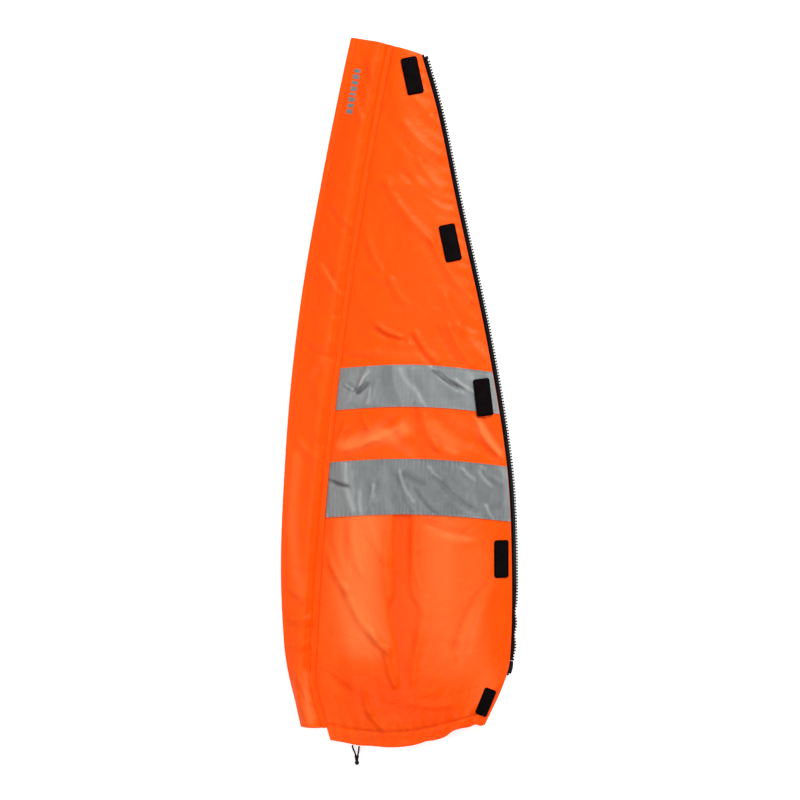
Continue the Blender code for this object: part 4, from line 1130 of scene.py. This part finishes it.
class EXTENSIONPANEL_OT_drawcord(PieceOperator, bpy.types.Operator):
    """Make the hem's drawcord ends, their knot and the end ball"""

    bl_idname = "extensionpanel.drawcord"
    bl_label = "Drawcord"

    def execute(self, context):
        black = finish_for("cord", self.looks)
        middle = KNOT_WIDTH / 2 + GAP
        (left_x, left_y), (right_x, right_y) = (below_hem(share, CORD_PROUD) for share in CORD_EXITS)
        knot_x, knot_y = below_hem(KNOT_AT, KNOT_DROP)
        ball_x, ball_y = below_hem(CORD_BALL_AT, CORD_BALL_DROP)
        low = ball_y + BALL / 2
        way = rounded_way((
            (left_x, left_y, CORD_HEIGHT), (left_x + 0.0006, left_y - 0.004, CORD_HEIGHT + 0.0003),
            (knot_x - 0.0022, knot_y + 0.0052, middle), (knot_x - 0.0011, knot_y, middle),
            (knot_x - 0.0010, low + 0.0010, middle - 0.0005), (knot_x, low - 0.0004, middle - 0.0005),
            (knot_x + 0.0010, low + 0.0010, middle - 0.0005), (knot_x + 0.0011, knot_y, middle),
            (knot_x + 0.0018, knot_y + 0.0052, middle),
            (right_x - 0.0002, right_y - 0.004, CORD_HEIGHT + 0.0003), (right_x, right_y, CORD_HEIGHT)), 4)
        length = sum((b - a).length for a, b in zip(way, way[1:]))
        cord = finished(round_cord("drawcord", way, CORD), black, 60)
        knot = self.knot((knot_x, knot_y, middle), black)
        ball = self.ball(ball_x, ball_y)
        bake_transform(cord)
        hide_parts("drawcord_end_left", "drawcord_end_right")
        for piece, node in ((knot, "drawcord_knot"), (ball, "cord_end_ball")):
            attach(piece, "cord_knot")
            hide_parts(node)
        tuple(way[0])
        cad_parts["hem_drawcord"].data.materials[0] = black
        return {"FINISHED"}

    def knot(self, middle, material):
        size = KNOT_LOOP
        loop = []
        for k in range(KNOT_STEPS):
            t = tau * k / KNOT_STEPS
            loop.append((middle[0] + size * (sin(t) + 2 * sin(2 * t)) * 0.92,
                         middle[1] + size * (cos(t) - 2 * cos(2 * t)) * 1.05,
                         middle[2] - size * 1.7 * sin(3 * t)))
        return finished(round_cord("cord_knot_wraps", loop, CORD * 0.92, closed=True), material, 60)

    def ball(self, x, y):
        unpick()
        bpy.ops.mesh.primitive_uv_sphere_add(segments=32, ring_count=20, radius=BALL / 2)
        piece = named(bpy.context.object, "cord_ball")
        spots = spots_of(piece)
        groove = 1 - 0.05 * np.exp(-((spots[:, 1] / 0.0005) ** 2))
        spots = spots * groove[:, None]
        put(piece, spots + np.array((x, y, BALL / 2 + GAP)))
        return finished(piece, finish_for("resin", self.looks), 60)


# Panel

def hollow_of(x, y, height, step=0.004):
    """How far a place lies below its surroundings, from 0 to 1."""
    around = height(x + step, y) + height(x - step, y) + height(x, y + step) + height(x, y - step)
    return np.clip((around / 4 - height(x, y)) / 0.0006, -0.3, 1.0)


class EXTENSIONPANEL_OT_shell(PieceOperator, bpy.types.Operator):
    """Make the padded shell with its folds and pleat"""

    bl_idname = "extensionpanel.shell"
    bl_label = "Padded shell"

    def execute(self, context):
        gain = self.looks.wrinkles
        high = lambda x, y: shell_height(x, y, gain)
        piece = cloth("padded_shell", 120, 400, panel_spot, high, shell_under)
        x, y, z = spots_of(piece).T
        upper = z > (high(x, y) + shell_under(x, y)) / 2
        # painted shade: the shell's colour darkens in its creases and in the pleat
        painted_crease_shade = hollow_of(x, y, high) * 0.20 + 0.14 * pleat_share(x, y)
        shade_map(piece, "hollow", np.where(upper, painted_crease_shade, 0.0))
        # painted light and painted shade: broad lobes of lighter and duller colour
        shade_map(piece, "sheen", 1000 * ridges(x, y, PANEL_PAINTED_LIGHT, 1.0))
        apply_bevel(piece, 0.0007)
        finished(piece, finish_for("shell", self.looks))
        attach(piece, "panel")
        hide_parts("shell_panel", "wadding")
        return {"FINISHED"}


class EXTENSIONPANEL_OT_lining(PieceOperator, bpy.types.Operator):
    """Make the lining and the hem's turned-up facing"""

    bl_idname = "extensionpanel.lining"
    bl_label = "Lining"

    def execute(self, context):
        share = HEM_TUNNEL / WHOLE_ALONG
        slack = lambda x, y: lining_under(x, y) + 0.0002 + 0.0002 * np.sin(x * 190 + 3 * np.sin(y * 45))
        lining = cloth("lining_cloth", 60, 180, lambda u, v: panel_spot(u, share + (1 - share) * v),
                       lambda x, y: slack(x, y) + LINING_WALL * 0.6, slack)
        facing = cloth("hem_turning", 90, 10, lambda u, v: panel_spot(u, (share - 0.0005) * v),
                       lambda x, y: 0.0 * x + LINING_WALL, lambda x, y: 0.0 * x)
        for piece, node, key, slot in ((lining, "lining_panel", "lining", "lining"),
                                       (facing, "hem_facing", "facing", "facing_fabric")):
            finished(piece, finish_for(key, self.looks))
            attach(piece, "panel")
            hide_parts(node)
        return {"FINISHED"}


# Bands

def tape_lines(tape):
    bow = tape["middle"] - (tape["left"] + tape["right"]) / 2

    def spot(u, v):
        y = tape["left"] + (tape["right"] - tape["left"]) * u + bow * np.sin(pi * u) + tape["width"] * v
        left, right = seam_x(y) + 2 * GAP, EDGE.x_at(y) - GAP
        return left + (right - left) * u, y
    return spot


def band_sheen(x, y, up, k):
    """Painted light and painted shade on the bands, in place of the light the beads send back: listed
    streaks, light and dark ticks at the puckered edges, a darker middle and right on the lower band and a
    lighter strip by the zip.
    """
    # painted shade: both bands a little darker, the lower band more so in its middle and right
    base = (-0.04, -0.12 - 0.16 * eased((x + 0.050) / 0.03))[k]
    rim = np.exp(-np.minimum(up, 1 - up) * (16, 12)[k])
    uneven = 0.6 + 0.6 * np.sin(x * 61 + 4 * up)
    # painted light and painted shade: ticks over the puckers near the long edges
    ticks = np.sin(tau * x / 0.0056 + 2.6 * np.sin(x * 173) + 9 * (up > 0.5)) * uneven
    # painted light: a lighter strip within 10 mm of the zip edge
    wear_and_painted_light = 0.35 * eased((0.010 - (EDGE.x_at(y) - x)) / 0.006)
    return base + 1000 * ridges(x, y, BAND_STREAKS, 1.0) + (0.04, 0.12)[k] * ticks * rim + wear_and_painted_light


class EXTENSIONPANEL_OT_bands(PieceOperator, bpy.types.Operator):
    """Make the two silver bands and their edge stitching"""

    bl_idname = "extensionpanel.bands"
    bl_label = "Reflective bands"

    def execute(self, context):
        for k, (node, tape) in enumerate(TAPES.items()):
            self.band(k, node, tape)
        return {"FINISHED"}

    def band(self, k, node, tape):
        spot = tape_lines(tape)
        gain = self.looks.wrinkles
        bow = tape["middle"] - (tape["left"] + tape["right"]) / 2
        pucker = (0.00022, 0.00055)[k]

        def up_band(x, y):
            left, right = seam_x(y), EDGE.x_at(y)
            u = np.clip((x - left) / (right - left), 0, 1)
            low = tape["left"] + (tape["right"] - tape["left"]) * u + bow * np.sin(pi * u)
            return np.clip((y - low) / tape["width"], 0, 1)

        def high(x, y):
            v = up_band(x, y)
            edge = np.minimum(v, 1 - v) * tape["width"]
            waves = np.sin(tau * x / 0.0046 + 1.8 * np.sin(x * 140) + 9 * (v > 0.5))
            rise = pucker * (1 + waves) * np.exp(-edge / 0.009) * (0.7 + 0.3 * np.sin(x * 47))
            sewn_in = 0.00035 * np.exp(-(((edge - BAND_SEAM_INSET) / 0.0009) ** 2))
            rise = rise + ridges(x, y, BAND_CREASES, gain) * eased(edge / 0.004)
            return shell_height(x, y, gain) + BAND_LIFT + np.maximum(rise - sewn_in, -BAND_DIP)

        piece = cloth(node + "_cloth", 190, 50 + 14 * k, spot, high,
                      lambda x, y: shell_height(x, y, gain) - 0.0002)
        x, y, z = spots_of(piece).T
        # painted shade in the bands' creases, and painted light and shade from band_sheen
        shade_map(piece, "hollow", hollow_of(x, y, high, 0.0022) * 0.35)
        shade_map(piece, "sheen", band_sheen(x, y, up_band(x, y), k))
        finished(piece, finish_for("tape", self.looks))
        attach(piece, "panel")
        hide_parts(node)
        length = float(spot(np.float64(1), 0.5)[0] - spot(np.float64(0), 0.5)[0])
        seams = []
        u = np.linspace(0.015, 0.985, 260)
        for edge in (BAND_SEAM_INSET, tape["width"] - BAND_SEAM_INSET):
            seams.append(spot(u, edge / tape["width"] + 0 * u))
        stitches = sewn(node + "_stitching", seams, high, self.looks, finish_for("grey_thread", self.looks))
        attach(stitches, "panel")


# Patches

def rounded_square(u, v, width, length, corner):
    """A unit square's place laid onto a rectangle with round corners."""
    x, y = (u - 0.5) * width, (v - 0.5) * length
    in_x, in_y = width / 2 - corner, length / 2 - corner
    over_x, over_y = np.maximum(np.abs(x) - in_x, 0), np.maximum(np.abs(y) - in_y, 0)
    longest = np.maximum(over_x, over_y)
    reach = np.maximum(np.hypot(over_x, over_y), 1e-9)
    pull = np.where((over_x > 0) & (over_y > 0), longest / reach, 1.0)
    x = np.sign(x) * (np.minimum(np.abs(x), in_x) + over_x * pull)
    y = np.sign(y) * (np.minimum(np.abs(y), in_y) + over_y * pull)
    return x, y


def patch_piece(name, middle, turn, width, length, low, wall, side=1):
    """A patch lying on a surface: a low selvedge round a raised pile."""
    def place(u, v):
        x, y = rounded_square(u, v, width, length, 0.0030)
        return middle[0] + x * cos(turn) - y * sin(turn), middle[1] + x * sin(turn) + y * cos(turn)

    piece = two_layers(name, 40, 88)
    spots = spots_of(piece)
    u, v, upper = spots[:, 0] + 0.5, spots[:, 1] + 0.5, spots[:, 2] > 0.5
    x, y = place(u, v)
    edge = np.minimum(np.minimum(u, 1 - u) * width, np.minimum(v, 1 - v) * length)
    pile = eased((edge - 0.0012) / 0.0008)
    chance = np.random.RandomState(len(name))
    fuzz = chance.rand(len(u)) * 0.00022 * pile
    height = (wall * (0.50 + 0.50 * pile) + fuzz) * side
    base = low(x, y)
    put(piece, np.stack((x, y, np.where(upper, base + height, base)), axis=1))
    shade_map(piece, "rim", 1 - pile)
    t = np.linspace(0, 1, 60)
    inset_u, inset_v = PATCH_SEAM_INSET / width, PATCH_SEAM_INSET / length
    across, along = inset_u + (1 - 2 * inset_u) * t, inset_v + (1 - 2 * inset_v) * t
    sides = ((across, inset_v + 0 * t), (1 - inset_u + 0 * t, along),
             (1 - across, 1 - inset_v + 0 * t), (inset_u + 0 * t, 1 - along))
    return piece, [place(us, vs) for us, vs in sides]


class EXTENSIONPANEL_OT_patches(PieceOperator, bpy.types.Operator):
    """Make the loop patches on the panel and the hook patches under the flap"""

    bl_idname = "extensionpanel.patches"
    bl_label = "Hook and loop patches"

    def execute(self, context):
        gain = self.looks.wrinkles
        for node, patch in LOOP_PATCHES.items():
            length = HEM_PATCH_LENGTH if node == "loop_patch_hem" else PATCH_LENGTH
            lift = PATCH_LIFT_ON_BAND if node == "loop_patch_waist" else PATCH_LIFT
            y = patch["at"] * LENGTH
            middle = EDGE.point(EDGE.along_at(y), -patch["in"])
            low = lambda x, y, lift=lift: (
                shell_height(x, y, gain * 0.5) * 0.5 + shell_height(x, y, gain) * 0.5 + lift)
            piece, border = patch_piece(node + "_pile", middle, radians(patch["lean"]), patch["width"],
                                        length, low, 0.0016)
            finished(piece, finish_for("loops", self.looks))
            top = lambda x, y, low=low: low(x, y) + 0.0009
            self.sew(node, piece, border, top, "panel")
        for node, share in HOOK_PATCHES.items():
            along = SEAM.along_at(share * LENGTH)
            width = FLAP_WIDTH(SEAM.point(along, 0.0)[1])
            middle = SEAM.point(along, width - HOOK_INSET - HOOK_WIDTH / 2)
            turn = float(SEAM.start - along / SEAM.radius - pi)
            piece, border = patch_piece(node + "_pile", middle, turn, HOOK_WIDTH, PATCH_LENGTH,
                                        lambda x, y: flap_under(x, y) - 0.0001, 0.0011, -1)
            finished(piece, finish_for("hooks", self.looks))
            self.sew(node, piece, border, lambda x, y: flap_under(x, y) - 0.0008, "storm_flap")
        return {"FINISHED"}

    def sew(self, node, piece, border, height, body):
        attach(piece, body)
        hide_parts(node)
        thread = finish_for("black_thread", self.looks)
        stitches = sewn(node + "_stitching", border, height, self.looks, thread)
        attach(stitches, body)


# Storm flap

def flap_spot(u, v):
    """Place on the storm flap: across from its outer edge to the seam, along from hem to neck."""
    along = -FLAP_END + (NECK_ALONG + FLAP_END) * v
    inner = -SEAM.swing(along)
    outer = FLAP_WIDTH(SEAM.point(along, 0.0)[1])
    return SEAM.point(along, outer + (inner - outer) * u)


def fold_line():
    """Two places on the line that the flap turns about, and the way out from it."""
    low = Vector(SEAM.point(0.0, FOLD_ZIP_END))
    high = Vector(SEAM.point(SEAM.length, FOLD_TOP))
    way = (high - low).normalized()
    return low, high, Vector((-way.y, way.x))


def turn_with_flap(piece):
    """Bake a piece's transform into its mesh; the fold line's ends are worked out but not used, so the piece
    does not bend.
    """
    low, high, out = fold_line()
    middle = (low + high) / 2
    start, end = middle - out * 0.0015, middle + out * 0.0045
    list(start)
    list(end)
    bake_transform(piece)


class EXTENSIONPANEL_OT_flap(PieceOperator, bpy.types.Operator):
    """Make the storm flap, its topstitching and the generic bar print"""

    bl_idname = "extensionpanel.flap"
    bl_label = "Storm flap"

    def execute(self, context):
        gain = self.looks.wrinkles
        high = lambda x, y: flap_height(x, y, gain)
        piece = cloth("storm_flap_cloth", 44, 430, flap_spot, high, flap_under)
        x, y, z = spots_of(piece).T
        upper = z > flap_under(x, y) + 0.0012
        # painted shade in the flap's creases, and painted light and shade lobes in the sheen mark
        shade_map(piece, "hollow", np.where(upper, hollow_of(x, y, high, 0.003) * 0.26, 0.0))
        shade_map(piece, "sheen", 1000 * ridges(x, y, FLAP_PAINTED_LIGHT, 1.0))
        apply_bevel(piece, 0.0009)
        finished(piece, finish_for("shell", self.looks))
        turn_with_flap(piece)
        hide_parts("storm_flap_outer", "flap_interlining", "storm_flap_facing", "flap_seam_strip")
        stitches = self.stitching(high)
        print_piece = self.bars(high)
        return {"FINISHED"}

    def stitching(self, high):
        along = np.linspace(-FLAP_END + 0.004, NECK_ALONG - 0.003, 900)
        near = SEAM.point(along, TOPSTITCH - SEAM.swing(along))
        width = FLAP_WIDTH(SEAM.point(along, 0.0)[1])
        far = SEAM.point(along, width - 0.006)
        ends = []
        for level, reach in ((-FLAP_END + 0.005, 1.0), (NECK_ALONG - 0.005, 1.0)):
            inner = TOPSTITCH - float(SEAM.swing(level))
            outer = float(FLAP_WIDTH(SEAM.point(level, 0.0)[1])) - 0.006
            out = np.linspace(inner, outer, 40) * reach
            ends.append(SEAM.point(level + 0 * out, out))
        piece = sewn("flap_topstitching", [near, far, *ends], high, self.looks,
                     finish_for("thread", self.looks), 0.0001)
        turn_with_flap(piece)
        return piece

    def bars(self, high):
        """A row of plain blocks in reflective ink."""
        middle = SEAM.along_at(PRINT_AT * LENGTH)
        wide = (0.0052, 0.0044, 0.0052, 0.0030, 0.0052, 0.0044, 0.0052, 0.0044)
        space = (PRINT_LENGTH - sum(wide)) / (len(wide) - 1)
        at = middle - PRINT_LENGTH / 2
        made = []
        for k, length in enumerate(wide):
            def place(u, v, at=at, length=length):
                x, y = rounded_square(u, v, PRINT_WIDTH, length, 0.0007)
                return SEAM.point(at + length / 2 + y, PRINT_FROM_SEAM + x)
            made.append(cloth("bar_%d" % k, 12, 8, place, lambda x, y: high(x, y) + 0.00022,
                              lambda x, y: high(x, y) - 0.0002))
            at = at + length + space
        unpick()
        for piece in made:
            piece.select_set(True)
        bpy.context.view_layer.objects.active = made[0]
        bpy.ops.object.join()
        piece = named(made[0], "flap_bars")
        shade_map(piece, "hollow", np.full(len(piece.data.vertices), 0.3))
        finished(piece, finish_for("print", self.looks))
        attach(piece, "storm_flap")
        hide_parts("flap_print")
        return piece


# Zips

def tooth_pattern():
    """One moulded tooth: a narrow neck and a wide head with a pip."""
    unpick()
    bpy.ops.mesh.primitive_cube_add(size=1)
    piece = bpy.context.object
    spots = spots_of(piece)
    put(piece, (spots + (0.5, 0, 0)) * (TOOTH_LENGTH, TOOTH_WIDTH, TOOTH_THICK))
    bpy.ops.object.mode_set(mode="EDIT")
    for share in (0.42, 0.62):
        bpy.ops.mesh.select_all(action="SELECT")
        bpy.ops.mesh.bisect(plane_co=(share * TOOTH_LENGTH, 0, 0), plane_no=(1, 0, 0))
    bpy.ops.object.mode_set(mode="OBJECT")
    spots = spots_of(piece)
    share = spots[:, 0] / TOOTH_LENGTH
    waist = np.interp(share, (0, 0.42, 0.62, 1.0), (0.66, 0.62, 1.08, 0.84))
    thick = np.interp(share, (0, 0.42, 0.62, 1.0), (1.0, 0.86, 0.94, 0.70))
    spots[:, 1] *= waist
    spots[:, 2] *= thick
    put(piece, spots)
    apply_bevel(piece, 0.00024, 1, 30)
    return piece


class ZipSide:
    """One half of a zip, beside a line, turned on edge where it curls."""

    def __init__(self, line, chain_at, stop, curl):
        self.line = line
        self.chain_at = chain_at
        self.stop = stop
        self.curl = curl

    def turn(self, along):
        if not self.curl:
            return 0.0 * along
        lower = eased((0.096 - along) / 0.030)
        return self.curl * lower * (0.86 + 0.20 * np.sin(tau * along / 0.027 + 0.6))

    def spot(self, along, out, height):
        """A place on the half: along the line, out from it, above the tape's middle."""
        turn = self.turn(along)
        pivot = 0.0006
        free = np.maximum(out - pivot, 0.0)
        reach = np.minimum(out, pivot) + free * np.cos(turn) - height * np.sin(turn) * (free > 0)
        x, y = self.line.point(along, reach)
        z = ZIP_MIDDLE + free * np.sin(turn) + height * np.cos(turn)
        return x, y, z

    def strip(self, name, start, stop, inner, outer, thick, across, along):
        piece = two_layers(name, across, along)
        u, v, upper = (spots_of(piece) + np.array((0.5, 0.5, 0))).T
        place = start + (stop - start) * v
        spots = self.spot(place, inner + (outer - inner) * u, (upper - 0.5) * thick)
        put(piece, np.stack(spots, axis=1))
        return piece

    def teeth(self, name, material):
        count = int(self.stop / TOOTH_PITCH)
        places = []
        for k in range(count):
            along = np.float64(GAP + (k + 0.5) * TOOTH_PITCH)
            foot = np.array(self.spot(along, self.chain_at + BEAD * 0.8, 0.0))
            tip = np.array(self.spot(along, self.chain_at + BEAD + TOOTH_LENGTH, 0.0))
            out = (tip - foot) / np.linalg.norm(tip - foot)
            ahead = np.array(self.spot(along + 0.0005, self.chain_at + BEAD, 0.0))
            way = ahead - np.array(self.spot(along - 0.0005, self.chain_at + BEAD, 0.0))
            way = way - out * np.dot(way, out)
            way = way / np.linalg.norm(way)
            places.append((foot, np.array((out, way, np.cross(out, way)))))
        return copies(name, tooth_pattern(), places, material)


class EXTENSIONPANEL_OT_zips(PieceOperator, bpy.types.Operator):
    """Make both zip halves: tape, bead, teeth, and the free half's film and pin"""

    bl_idname = "extensionpanel.zips"
    bl_label = "Zips"

    def execute(self, context):
        free = ZipSide(EDGE, ZIP_TAPE_SHOWS + GAP, EDGE.high - ZIP_TOP_MARGIN, self.looks.zip_curl)
        covered = ZipSide(SEAM, LEFT_CHAIN_AT, SEAM.length - ZIP_TOP_MARGIN, 0.0)
        for side, half in (("right", free), ("left", covered)):
            self.half(side, half)
        film = free.strip("right_zip_film", -END_FILM, -GAP, -TAPE_SEWN, free.chain_at - GAP, 0.0009, 12, 14)
        pin = free.strip("right_zip_pin_rod", -PIN_LENGTH, -GAP, free.chain_at,
                         free.chain_at + PIN_WIDTH, 0.0024, 3, 14)
        for piece, node, key in ((film, "right_zip_end_film", "film"), (pin, "right_zip_pin", "resin")):
            apply_bevel(piece, 0.0003)
            finished(piece, finish_for(key, self.looks))
            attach(piece, "panel")
            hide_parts(node)
        return {"FINISHED"}

    def half(self, side, half):
        resin = finish_for("resin", self.looks)
        tape = half.strip(side + "_zip_woven_tape", GAP, half.stop + 2 * STOP_LENGTH, -TAPE_SEWN,
                          half.chain_at - GAP, ZIP_TAPE_WALL, 12, 360)
        finished(tape, finish_for("zip_tape", self.looks))
        bead = half.strip(side + "_zip_bead", GAP, half.stop + STOP_LENGTH, half.chain_at - 0.0004,
                          half.chain_at + BEAD + 0.0013, 0.0016, 5, 360)
        apply_bevel(bead, 0.0004)
        finished(bead, resin)
        teeth = half.teeth(side + "_zip_moulded_teeth", resin)
        for piece, node in ((tape, "_zip_tape"), (teeth, "_zip_teeth"), (bead, None)):
            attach(piece, "panel")
            if node:
                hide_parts(side + node)


# Stitching of the panel

class EXTENSIONPANEL_OT_stitching(PieceOperator, bpy.types.Operator):
    """Sew the hem tunnel, the bar tacks, the neck and the zip edge"""

    bl_idname = "extensionpanel.stitching"
    bl_label = "Panel stitching"

    def execute(self, context):
        gain = self.looks.wrinkles
        high = lambda x, y: shell_height(x, y, gain)
        u = np.linspace(0.02, 0.98, 200)
        tunnel = panel_spot(u, (HEM_TUNNEL - 0.002) / WHOLE_ALONG + 0 * u)
        neck = panel_spot(u, 1 - 0.005 / WHOLE_ALONG + 0 * u)
        v = np.linspace(0.004, 0.995, 700)
        right_y = EDGE.ys[0] + (EDGE.ys[-1] - EDGE.ys[0]) * v
        zip_side = EDGE.point(EDGE.along_at(right_y), -0.0030)
        piece = sewn("panel_stitching", [tunnel, neck, zip_side], high, self.looks,
                     finish_for("thread", self.looks), 0.0001)
        tack = self.tacks(high)
        for made in (piece, tack):
            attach(made, "panel")
        return {"FINISHED"}

    def tacks(self, high):
        """A stitched box where the cord leaves the hem."""
        left, right, low, top = -0.0480, -0.0325, -0.4195, -0.4055
        t = np.linspace(0, 1, 24)
        box = [(left + (right - left) * t, low + 0 * t), (right + 0 * t, low + (top - low) * t),
               (right + (left - right) * t, top + 0 * t), (left + 0 * t, top + (low - top) * t)]
        for x in (left, right):
            for shift in (-0.0008, 0.0008):
                box.append((x + shift + 0 * t, low + (top - low) * t))
        return sewn("hem_bar_tacks", box, high, self.looks, finish_for("thread", self.looks), 0.0001)


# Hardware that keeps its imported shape

class EXTENSIONPANEL_OT_hardware(PieceOperator, bpy.types.Operator):
    """Finish the slider, puller, stops, box and pin"""

    bl_idname = "extensionpanel.hardware"
    bl_label = "Slider and stops"

    def execute(self, context):
        metal, resin = finish_for("metal", self.looks), finish_for("resin", self.looks)
        film, cord = finish_for("film", self.looks), finish_for("cord", self.looks)
        wanted = {
            "slider_body": metal, "slider_crown": metal, "puller_tab": metal,
            "right_zip_top_stop": resin, "left_zip_top_stop": resin, "left_zip_box": resin,
            "left_zip_pin": resin, "left_zip_end_film": film, "hem_drawcord": cord,
        }
        for node, material in wanted.items():
            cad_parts[node].data.materials.clear()
            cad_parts[node].data.materials.append(material)
        return {"FINISHED"}


class EXTENSIONPANEL_PT_sidebar(bpy.types.Panel):
    """Sidebar with the settings and the pieces"""

    bl_idname = "EXTENSIONPANEL_PT_sidebar"
    bl_label = "Extension Panel"
    bl_space_type = "VIEW_3D"
    bl_region_type = "UI"
    bl_category = "Extension Panel"

    def draw(self, context):
        for group in (context.scene.extension_panel_looks, context.scene.extension_panel_studio):
            for key in group.__annotations__:
                self.layout.prop(group, key)
        for operator in OPERATORS:
            self.layout.operator(operator.bl_idname)


OPERATORS = (
    EXTENSIONPANEL_OT_stage, EXTENSIONPANEL_OT_drawcord, EXTENSIONPANEL_OT_shell,
    EXTENSIONPANEL_OT_lining, EXTENSIONPANEL_OT_bands, EXTENSIONPANEL_OT_patches,
    EXTENSIONPANEL_OT_flap, EXTENSIONPANEL_OT_zips, EXTENSIONPANEL_OT_stitching,
    EXTENSIONPANEL_OT_hardware,
)
CLASSES = (ExtensionPanelLooks, StudioSettings, *OPERATORS, EXTENSIONPANEL_PT_sidebar)


def register():
    for cls in CLASSES:
        bpy.utils.register_class(cls)
    bpy.types.Scene.extension_panel_looks = bpy.props.PointerProperty(type=ExtensionPanelLooks)
    bpy.types.Scene.extension_panel_studio = bpy.props.PointerProperty(type=StudioSettings)


def unregister():
    del bpy.types.Scene.extension_panel_studio
    del bpy.types.Scene.extension_panel_looks
    for cls in reversed(CLASSES):
        bpy.utils.unregister_class(cls)


def main():
    register()
    steps = bpy.ops.extensionpanel
    steps.stage()
    steps.drawcord()
    steps.shell()
    steps.lining()
    steps.bands()
    steps.patches()
    steps.flap()
    steps.zips()
    steps.stitching()
    steps.hardware()


if __name__ == "__main__":
    main()
